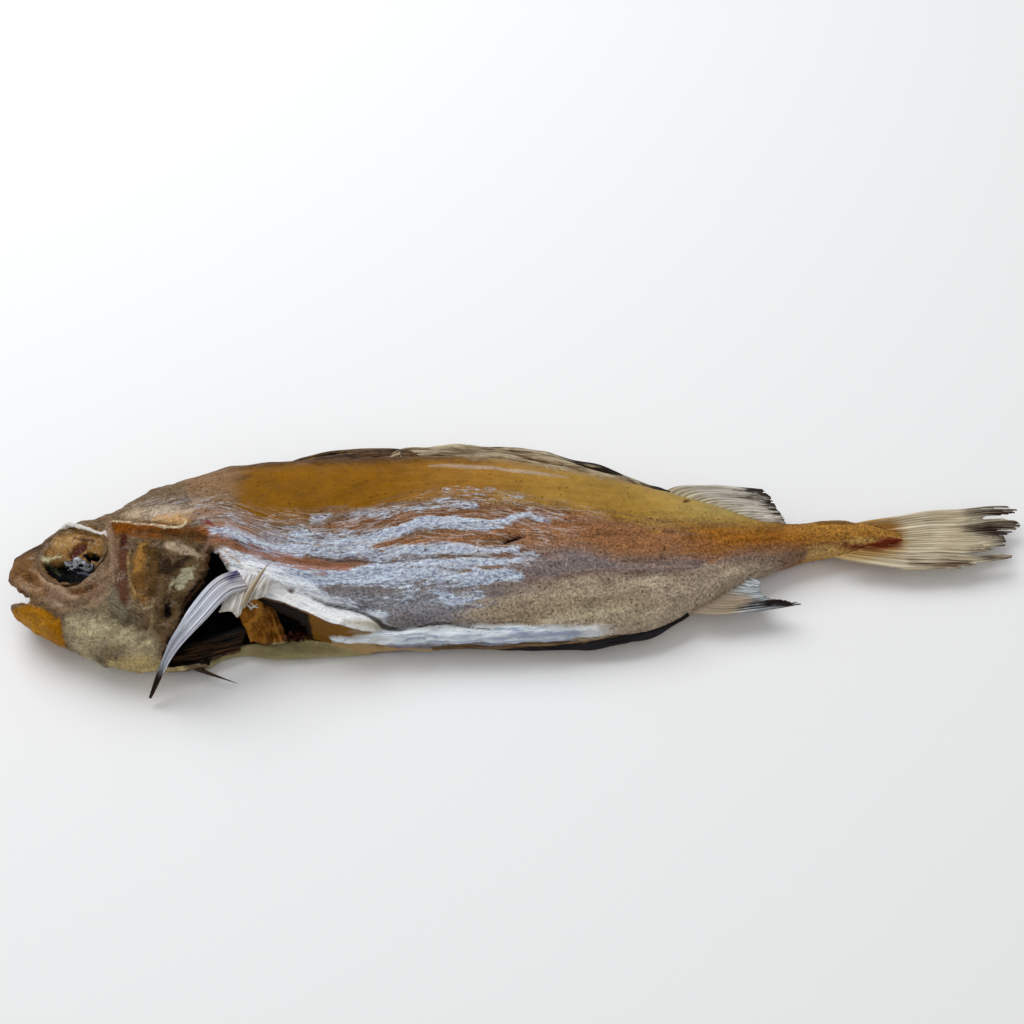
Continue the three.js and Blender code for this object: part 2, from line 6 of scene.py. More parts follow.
import bmesh
import bpy
import numpy as np
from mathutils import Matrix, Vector


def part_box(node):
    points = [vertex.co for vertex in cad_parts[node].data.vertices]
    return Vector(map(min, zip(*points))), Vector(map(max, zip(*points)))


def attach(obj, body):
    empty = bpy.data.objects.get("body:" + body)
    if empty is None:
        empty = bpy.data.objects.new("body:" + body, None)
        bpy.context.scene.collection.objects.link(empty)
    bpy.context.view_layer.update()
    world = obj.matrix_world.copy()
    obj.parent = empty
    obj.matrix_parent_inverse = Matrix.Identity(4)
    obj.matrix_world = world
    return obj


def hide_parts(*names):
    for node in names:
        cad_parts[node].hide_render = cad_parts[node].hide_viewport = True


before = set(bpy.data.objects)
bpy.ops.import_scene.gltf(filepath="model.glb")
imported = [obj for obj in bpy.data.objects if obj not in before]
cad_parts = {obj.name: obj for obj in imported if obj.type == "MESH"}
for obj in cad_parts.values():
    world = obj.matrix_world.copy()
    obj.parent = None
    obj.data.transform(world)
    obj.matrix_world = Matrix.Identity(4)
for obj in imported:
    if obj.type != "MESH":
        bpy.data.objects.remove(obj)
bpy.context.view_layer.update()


# ---- Head, trunk and tail stalk ------------------------------------------------------------
# Skin and flesh in one piece, gutted through a slit from the gills to the vent, then salted and
# hung to dry. The flesh has shrunk over the bones, and the thin skin has wrinkled along its
# fibres and turned amber on the back, silvery lilac on the flank and dull grey on the belly.

MM = 0.001
SAME_PLACE = 1e-7  # metres between points that count as one
SKIN_STEP = 0.64  # edge of the even mesh that the skin is made of
BACK_TOP = 29.9  # highest point of the back above y = 0
GILL_EDGE = 53  # where the gill cover's rear edge meets the shoulder
FLESH_END = 231  # where the tail stalk's flesh ends over the tail fin's rays
TABLE_GAP = 0.02  # between the skin and the table
DEEPEST_HALF = 27  # half the fish's height from back to belly where it is deepest
HOLLOW_START = 30  # ahead of it only the mouth and the eye sockets are open
OLIVE_START = 76.4  # behind it, the torn belly wall and the membrane under it are olive
ZONE_REACH = 12  # depth in a zone, either way, beyond which nothing changes
SNOUT_RADIUS = 2.2
FULLNESS = 0.44  # power of the girth's arch: a half is an ellipse, and less is fuller
FLATNESS = 2.5  # how far the underside is pressed flat

carcass_low, carcass_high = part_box("carcass")
SNOUT = np.array([carcass_low.x, carcass_high.y - BACK_TOP * MM, 0])


def along(*pairs):
    """A smooth value along the fish through (station, value) pairs."""
    at, value = np.array(pairs, float).T
    index = np.arange(len(at))
    before, after = np.maximum(index - 1, 0), np.minimum(index + 1, index[-1])
    slope = (value[after] - value[before]) / (at[after] - at[before])

    def value_at(s):
        s = np.clip(s, at[0], at[-1])
        i = np.clip(np.searchsorted(at, s) - 1, 0, len(at) - 2)
        span = at[i + 1] - at[i]
        t = (s - at[i]) / span
        keep = 2 * t**3 - 3 * t**2 + 1
        lean = (t**3 - 2 * t**2 + t) * slope[i] + (t**3 - t**2) * slope[i + 1]
        return keep * value[i] + (1 - keep) * value[i + 1] + span * lean

    return value_at


back_edge = along(
    (0, 5.4), (3, 7), (7.5, 8.5), (12.5, 12.3), (19, 14.3), (27, 16), (34, 21.1), (47, 25.8),
    (62, 29.1), (84, 29.5), (119, 29.4), (143, 24.8), (168, 17.2), (185, 10.3), (196, 5.2),
    (207, 5), (219, 5.2), (FLESH_END, 0.4),
)
belly_edge = along(
    (0, -9.6), (3, -11.8), (8, -16.2), (16.5, -20.8), (26, -25.8), (36, -27.3), (48, -26.8),
    (60, -25.2), (84, -25.1), (110, -25.1), (140, -26.1), (160, -25), (175, -19), (187, -12.2),
    (197, -7.5), (209, -4.6), (219, -4.6), (FLESH_END, -2.6),
)
back_ridge = along((0, 11), (20, 12), (50, 12.5), (100, 11.5), (150, 9.5), (190, 7.5), (231, 6.2))
belly_ridge = along(
    (0, 10.5), (20, 9), (40, 6.5), (60, 4.6), (100, 4.8), (140, 5.5), (175, 6.5), (FLESH_END, 6),
)
left_flank = along(
    (0, 13.6), (3, 15.4), (8, 17.4), (18, 20.6), (34, 23), (52, 23.6), (80, 22.2), (120, 20.2),
    (150, 17.6), (175, 14), (195, 11), (212, 9.6), (FLESH_END, 7.4),
)
right_flank = along(
    (0, 7.4), (3, 5.8), (8, 3.6), (18, 1.4), (34, 0), (52, 0), (150, 0), (175, 0.6), (195, 2),
    (212, 3), (FLESH_END, 4.6),
)


def skin_heights(s, y):
    """Height of the left and of the right skin over the place (s, y)."""
    nose = np.sqrt(1 - (1 - np.clip(s / SNOUT_RADIUS, 0, 1)) ** 2)
    half = (back_edge(s) - belly_edge(s)) / 2 * np.maximum(nose, 0.1)
    across = np.clip((y - (back_edge(s) + belly_edge(s)) / 2) / half, -1, 1)
    bulge = (1 - across**2) ** FULLNESS * nose
    middle = (back_ridge(s) + belly_ridge(s)) / 2
    ridge = belly_ridge(s) + (back_ridge(s) - belly_ridge(s)) * (across + 1) / 2
    left = ridge + bulge * (left_flank(s) - middle)
    right = ridge - bulge * (middle - right_flank(s) + FLATNESS)
    return left, np.maximum(right, 0)


def buried_depth(s, y, z):
    """Depth of a place below the nearer side of the skin, square to the skin's slope."""
    step = 0.2
    left, right = skin_heights(s, y)
    left_up, right_up = skin_heights(s, y + step)
    left_down, right_down = skin_heights(s, y - step)
    left_slope = np.hypot(1, (left_up - left_down) / (2 * step))
    right_slope = np.hypot(1, (right_up - right_down) / (2 * step))
    return np.minimum((left - z) / left_slope, (z - right) / right_slope)


def to_fish(mesh):
    """The places of a mesh's vertices, in fish measures."""
    co = np.empty(len(mesh.vertices) * 3)
    mesh.vertices.foreach_get("co", co)
    return (co.reshape(-1, 3) - SNOUT) / MM


def from_fish(mesh, places):
    """Puts a mesh's vertices at places in fish measures."""
    mesh.vertices.foreach_set("co", (places * MM + SNOUT).ravel())
    mesh.update()


def normals_of(mesh):
    flat = np.empty(len(mesh.vertices) * 3)
    mesh.vertex_normals.foreach_get("vector", flat)
    return flat.reshape(-1, 3)


def mesh_from(bm, name):
    mesh = bpy.data.meshes.new(name)
    bm.to_mesh(mesh)
    bm.free()
    return mesh


def into_scene(name, data):
    """An object of this name and data, in the scene at the origin."""
    made = bpy.data.objects.new(name, data)
    bpy.context.scene.collection.objects.link(made)
    return made


def even_copy(node, step):
    """A copy of a CAD node's mesh, remade of even faces with this edge in mm."""
    bm = bmesh.new()
    bm.from_mesh(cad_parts[node].data)
    bmesh.ops.remove_doubles(bm, verts=bm.verts, dist=SAME_PLACE)
    rough = mesh_from(bm, node)
    rough.materials.clear()
    holder = into_scene(node, rough)
    remesh = holder.modifiers.new("even", "REMESH")
    remesh.mode = "VOXEL"
    remesh.voxel_size = step * MM
    graph = bpy.context.evaluated_depsgraph_get()
    mesh = bpy.data.meshes.new_from_object(holder.evaluated_get(graph))
    bpy.data.objects.remove(holder)
    return mesh


def ironed(mesh, places, share, rounds):
    """Smooths places over their neighbours; share says how freely each vertex gives way."""
    edges = np.empty(len(mesh.edges) * 2, int)
    mesh.edges.foreach_get("vertices", edges)
    first, second = edges.reshape(-1, 2).T
    count = np.bincount(edges, minlength=len(places))[:, None]
    for _ in range(rounds):
        total = np.stack([
            np.bincount(first, places[second, axis], len(places))
            + np.bincount(second, places[first, axis], len(places))
            for axis in range(3)
        ], axis=1)
        places = places + 0.5 * share[:, None] * (total / count - places)
    return places


def swell(places, wavelength, seed, waves=14):
    """A smooth uneven field, about -1 to 1, with a wavelength in mm along each axis."""
    rng = np.random.default_rng(seed)
    heading = rng.normal(size=(waves, places.shape[1]))
    heading /= np.linalg.norm(heading, axis=1)[:, None]
    pace = heading * rng.uniform(0.7, 1.4, (waves, 1)) / np.asarray(wavelength)
    start = rng.uniform(0, 2 * math.pi, waves)
    return np.sin(2 * math.pi * places @ pace.T + start).sum(1) / math.sqrt(waves / 2) / 1.6


def ramp(value, low, high):
    """0 below low, 1 above high and smooth between."""
    t = np.clip((value - low) / (high - low), 0, 1)
    return t * t * (3 - 2 * t)


def chain(places, *discs):
    """Depth in mm inside a chain of discs: (s, y, radius), or balls: (s, y, z, radius)."""
    size = len(discs[0]) - 1
    spots = places[:, :size]
    depth = np.full(len(places), -1e3)
    for start, end in zip(discs, discs[1:]):
        root = np.array(start[:size], float)
        leg = np.array(end[:size]) - root
        t = np.clip((spots - root) @ leg / (leg @ leg), 0, 1)
        away = np.linalg.norm(spots - root - t[:, None] * leg, axis=1)
        depth = np.maximum(depth, start[size] + t * (end[size] - start[size]) - away)
    return depth


def line(places, *points):
    """Distance in mm from a line of (s, y) points."""
    return -chain(places, *((*point, 0) for point in points))


def zone(mesh, name, depth):
    """Keeps a depth in mm on the mesh, for a material to cut a ragged edge from."""
    values = np.clip(depth, -ZONE_REACH, ZONE_REACH).astype(np.float32)
    mesh.attributes.new(name, "FLOAT", "POINT").data.foreach_set("value", values)


def zones(mesh, places, patches):
    """Keeps the depths inside several named chains on the mesh, and gives them back by name."""
    depths = {name: chain(places, *discs) for name, discs in patches.items()}
    for name, depth in depths.items():
        zone(mesh, name, depth)
    return depths


skin_mesh = even_copy("carcass", SKIN_STEP)
skin = to_fish(skin_mesh)
s, y, z = skin.T
left_z, right_z = skin_heights(s, y)
buried = buried_depth(s, y, z)
on_left = ramp(z - (left_z + right_z) / 2, -1, 1)

# The cut edges, and the lips of skin that stand out from them.
gill_cover_cut = line(
    skin, (41.9, -24.1), (46.5, -19.3), (46.2, -17), (49.1, -14.3), (51, -11.5), (52.6, -5),
    (GILL_EDGE, -3.2),
)
wall_cut = line(
    skin, (53.6, -2.8), (56, -7), (58.6, -10.3), (65, -15.6), (74, -19.4), (83.6, -22.8), (90, -24),
)
rolled_margin = chain(
    skin, (57.6, -8.6, 19.4, 1.6), (65, -14.3, 17.2, 1.8), (74, -18.1, 15.1, 2.2),
    (82.5, -20.7, 12.9, 2.6), (88, -21.2, 12.2, 2.8), (91.2, -21.6, 11.8, 2.2),
)
WALL_SLOPE = 0.71  # how far the torn wall's edge shifts towards the belly for each mm of height
wall_low = along(
    (55, 7.5), (60, 1), (65, -2.8), (70, -5), (74, -7.3), (78, -9.8), (81, -11.9), (84, -13), (89, -15),
    (92, -15.6),
)
wall_hang = np.minimum(y + WALL_SLOPE * z - wall_low(s), 4 - wall_cut)
wall_hang = np.minimum(wall_hang, np.minimum(s - 60, 92.5 - s))
belly_strip = chain(
    skin, (81.6, -22.6, 7.6, 1), (90, -23.4, 8.4, 1.6), (102, -23.8, 8.6, 2.3),
    (118, -24.4, 8.4, 2.4), (134, -25, 8, 2.2), (146, -24.8, 7.8, 1.6), (156, -23.6, 7.6, 0.8),
)
brow_flap = chain(
    skin, (12.4, 11, 13, 0.8), (14.6, 10.9, 17.4, 1.2), (19.6, 7.8, 20, 1.5),
    (25, 4.4, 21, 1.3), (28.6, 2.8, 20.6, 0.8),
)
inside = np.where(s > HOLLOW_START, ramp(buried, 0.6, 1.3), ramp(buried, 1.4, 2.4))
inside *= (1 - ramp(rolled_margin, -0.6, 0)) * (1 - ramp(brow_flap, -0.6, 0))
inside *= 1 - ramp(belly_strip, -0.4, 0.1)
near_cut = 1 - ramp(np.minimum(gill_cover_cut, wall_cut), 0.5, 2.5)

free_skin = (1 - inside) * (1 - near_cut) * (1 - ramp(brow_flap, -2, 0))
skin = ironed(skin_mesh, skin, 0.12 + 0.88 * free_skin, rounds=36)
from_fish(skin_mesh, skin)

# Torn edges waver, and every lobe of skin is a little uneven.
for axis, seed in ((0, 11), (1, 12)):
    tear = swell(skin[:, :2], 2.6, seed) + 0.6 * swell(skin[:, :2], 1.3, seed + 20)
    skin[:, axis] += 0.45 * tear * (1 - ramp(gill_cover_cut, 0.5, 2.5))
    skin[:, axis] += 0.25 * swell(skin[:, :2], 5, seed + 40) * ramp(belly_strip, -1, 0)

# The grain of the fibres runs along the fish. It dips under the shoulder, and on the belly wall
# it slants down from the gills to the slit's end.
s, y, z = skin.T
back_y, belly_y = back_edge(s), belly_edge(s)
half_height = (back_y - belly_y) / 2
level = (y - (back_y + belly_y) / 2) * np.sqrt(DEEPEST_HALF / np.maximum(half_height, 5))
dip = along(
    (40, 5), (50, 5), (57, 4), (65, -0.5), (75, -3), (85, -3), (95, -1), (105, 1), (120, 1.5), (140, 0)
)
slant = along((50, 8), (60, 7), (70, 2.5), (80, -1.5), (90, -4), (100, -5), (150, -5))
low_share = 1 - ramp(level, -26, 4)
middle_share = (1 - low_share) * (1 - ramp(level, 8, 18))
grain = np.stack([s, level - middle_share * dip(s) - low_share * slant(s), 25 * on_left], axis=1)

on_head = 1 - ramp(s + 0.25 * y, 46, 54)
on_trunk = 1 - on_head
amber_floor = along(
    (57, 15), (58.3, 11), (60, 8.8), (63, 7), (66, 4.3), (72, 3.7), (76, 3.8), (81, 5), (90, 6.4),
    (97, 7.5), (104, 9.3), (112, 11), (120, 10.6), (130, 8.6), (140, 6.6), (152, 4.6), (165, 3.6),
    (185, 3.4), (193, 3.4),
)
amber_back = np.minimum(y - amber_floor(s), np.minimum(s - 57.4, 196 - s))

# Bony ribs, folds and furrows: height, width, then the line each follows.
FOLDS = (
    (-0.7, 0.8, (6.5, -4), (9.5, -8), (12.5, -11), (15, -13), (17, -14.5)),
    (-0.6, 0.7, (17.5, -14.5), (20, -15), (22.5, -15), (25, -14), (27, -13.5)),
    (-0.4, 0.5, (18, -11.5), (20, -12.5), (21, -11.5), (22.5, -11.5)),
    (-0.7, 0.8, (20, -22), (22, -23), (25, -23), (28, -23), (30.5, -22), (33, -20.5)),
    (-0.5, 0.7, (20.5, -19.5), (24.5, -22), (27.5, -23), (30, -22.5)),
    (-0.8, 0.8, (33.5, -19), (34.5, -20.5), (37, -22), (39, -25), (37, -26)),
    (-0.6, 0.8, (8.5, -12), (11, -14), (13, -15.5), (15, -18), (16, -20)),
    (-0.6, 0.8, (28.5, 5.5), (29.5, -1), (29.5, -6.5), (30, -9)),
    (-0.7, 0.8, (34, -1.5), (33.5, -6), (33, -10.5), (33.5, -14.5)),
    (-0.7, 0.7, (40.5, -2.5), (40.5, -6.5), (40.5, -10)),
    (-1.6, 1.1, (42, -16.5), (42, -19)),
    (-0.6, 0.7, (49, -14.5), (46.5, -16), (44, -17)),
    (-0.5, 0.6, (24, -25), (28, -25.5), (33, -26.5), (38, -27)),
    (0.6, 0.9, (7.5, -2.5), (10.5, -5), (13.5, -8.5), (16, -11), (18, -12.5), (19.5, -13.5)),
    (0.6, 0.7, (28, 7.5), (32.5, 5.5), (35.5, 4.5), (39, 3.5), (41.5, 2.5), (44, 2.5), (47, 3)),
    (0.7, 0.8, (26.5, 5), (28, 1), (28.5, -3), (29, -6), (28, -8), (26.5, -9.5)),
    (0.6, 0.7, (39, -16), (38.5, -18.5), (38.5, -20.5), (37.5, -22.5)),
    (0.4, 0.5, (36.5, -18), (38.5, -18)),
    (0.5, 0.8, (35.5, -3), (35, -9), (36, -15)),
    (-0.8, 0.9, (75, -14), (77.5, -16), (80.5, -17.5), (83.5, -18), (89, -18.5)),
    (-1, 0.9, (89, -18.5), (92, -20.5), (94, -21.5), (98, -22.5), (104, -22)),
    (-0.7, 0.8, (104, -22), (109.5, -22), (115, -23), (121, -24)),
    (-0.5, 0.8, (55, -3.5), (59.5, -8), (62.5, -10.5), (70, -14.5)),
    (0.5, 1.2, (56.5, -5), (62, -9), (68, -12), (76, -13), (83, -15.5), (89, -17.5)),
    (-0.6, 1.2, (60, -3), (67, -5.5), (75.5, -7.5), (84, -8.5), (90, -7.5), (97, -7.5)),
    (-0.5, 0.6, (77.5, -6), (84, -7), (89.5, -7), (95, -8), (105, -7), (115, -7), (127, -8.5)),
    (-0.8, 0.6, (125.5, -4), (127, -3.5), (129, -3), (131, -2.5)),
    (0.4, 1, (57, 1.5), (60.5, -1), (65, -3), (72, -5)),
    (0.4, 1.2, (97, -1), (103.5, 1), (107.5, 2.5), (117.5, 1.5), (122, 0.5), (133, 3.5)),
)
rise = sum(height * np.exp(-((line(skin, *points) / width) ** 2)) for height, width, *points in FOLDS)
rise = rise * on_left
rise += on_head * (0.2 * swell(skin, 6, 1) + 0.14 * swell(skin, 3, 2) + 0.09 * swell(skin, 1.7, 9))
smooth_margin = np.maximum(ramp(rolled_margin, -1.2, 0.4), 1 - ramp(wall_cut, 1, 5))
fibrous = on_trunk * (1 - 0.75 * ramp(amber_back, -1, 3)) * (1 - 0.7 * smooth_margin)
rise += fibrous * (0.3 * swell(grain, (18, 3.4, 9), 3) + 0.16 * swell(grain, (9, 1.8, 9), 4))
rise += on_trunk * 0.12 * swell(skin, 7, 5)
rise += 0.28 * swell(grain, (14, 1.8, 9), 6) * ramp(belly_strip, -1, 0)
rise += inside * ramp(60 - s, 0, 10) * (0.35 * swell(skin, 4, 7) + 0.2 * swell(skin, 2, 8))
rise *= 1 - 0.9 * ramp(brow_flap, -1.5, -0.3)

# The second back fin's root is drawn up into small puckers.
PUCKER_PITCH = 2.1
fin_root = chain(
    skin, (108, 28, 0.8), (117, 27.6, 1.2), (125, 25.8, 1.3), (131, 24.8, 1.2), (138, 22.6, 1.1),
    (146, 21, 0.8), (156, 17.6, 0.4),
)
puckers = np.sin(2 * math.pi * (s + 0.6 * y) / PUCKER_PITCH + swell(skin, 9, 13))
puckers += 0.7 * swell(skin, 6, 14) - 0.3
rise += 0.25 * np.maximum(puckers, -0.2) * ramp(fin_root, -0.6, 0.4)
rise *= ramp(z, 0.2, 2.5)  # the underside stays flat on the table
skin = skin + normals_of(skin_mesh) * rise[:, None]
skin[:, 2] = np.maximum(skin[:, 2], TABLE_GAP)
from_fish(skin_mesh, skin)

skin_mesh.attributes.new("grain", "FLOAT_VECTOR", "POINT").data.foreach_set("vector", grain.ravel())
MOUTH = ((0, -4, 6), (8, -9, 5.5))
mouth = chain(skin, *MOUTH)
zone(skin_mesh, "inside", (inside - 0.5) * 2 - 4 * ramp(mouth, -1, 0.5))
zone(skin_mesh, "mouth roof", np.minimum((inside - 0.5) * 2, mouth))
zone(skin_mesh, "puckers", np.where(fin_root > -2, puckers * 2, -2) * ramp(fin_root, -0.6, 0.4) - 1)
# How far forward an inside wall lies, for the painted shade that darkens it.
zone(skin_mesh, "deep", 63 - s)
zone(skin_mesh, "head", (on_head - 0.5) * 4)
zone(skin_mesh, "roll", np.maximum(rolled_margin, wall_hang))
zone(skin_mesh, "strip", belly_strip)
zone(skin_mesh, "brow", brow_flap)
# Below the torn wall's cut line, where a painted shadow lies under the wall.
wall_end = skin[:, 1] + WALL_SLOPE * skin[:, 2] - wall_low(skin[:, 0])
below_wall = np.minimum(np.minimum(-wall_end, skin[:, 2] - 5), 5 - wall_cut)
zone(skin_mesh, "under-wall shadow", np.minimum(below_wall, np.minimum(s - 60, 94 - s)))
zone(skin_mesh, "wall rear", s - OLIVE_START)
zone(skin_mesh, "wall rim", np.minimum(0.35 - np.abs(wall_end + 0.2), np.minimum(s - 56, 84 - s)))
zone(skin_mesh, "cover rim", np.minimum(0.5 - gill_cover_cut, 0.8 - buried))

# Where one tone of skin gives way to the next: bands between two lines along the fish.
mauve_roof = along(
    (122, -9), (134, -6), (145, -5.8), (154, -8.6), (160, -9), (167, -8.3), (180, -6.7), (193, -4.9),
    (207, -4.2), (216, -4.4),
)
mauve_floor = along(
    (122, -17), (144, -14), (163, -13.6), (176, -11.6), (186, -8.8), (193, -7.3), (207, -5.2), (216, -5),
)
flank_roof = along(
    (122, 2.6), (140, 5.6), (146, 4.8), (152, 3), (165, 1.4), (185, 1), (193, 2.8), (FLESH_END, 4.6),
)
SKIN_BANDS = {
    "mauve": (mauve_floor, mauve_roof, 126, 214),
    "olive rear": (belly_edge, mauve_floor, 118, 196),
    "orange flank": (mauve_roof, flank_roof, 126, 236),
    "orange tail": (mauve_roof, flank_roof, 176, 236),
    "stalk back": (flank_roof, back_edge, 192, 236),
    "amber": (amber_floor, back_edge, 54, 197),
    "amber middle": (amber_floor, back_edge, 108, 197),
    "yellow back": (amber_floor, back_edge, 132, 197),
    "olive back": (amber_floor, back_edge, 170, 197),
}
for name, (floor, roof, start, end) in SKIN_BANDS.items():
    above = ZONE_REACH if floor is belly_edge else y - floor(s)
    under = ZONE_REACH if roof is back_edge else roof(s) - y
    zone(skin_mesh, name, np.minimum(np.minimum(above, under), np.minimum(0.36 * (s - start), end - s)))
zone(skin_mesh, "back shade", np.minimum(5.6 - (back_y - y), np.minimum(s - 53, 124 - s)))
zone(skin_mesh, "back stalk line", np.minimum(1.4 - (back_y - y), s - 160))

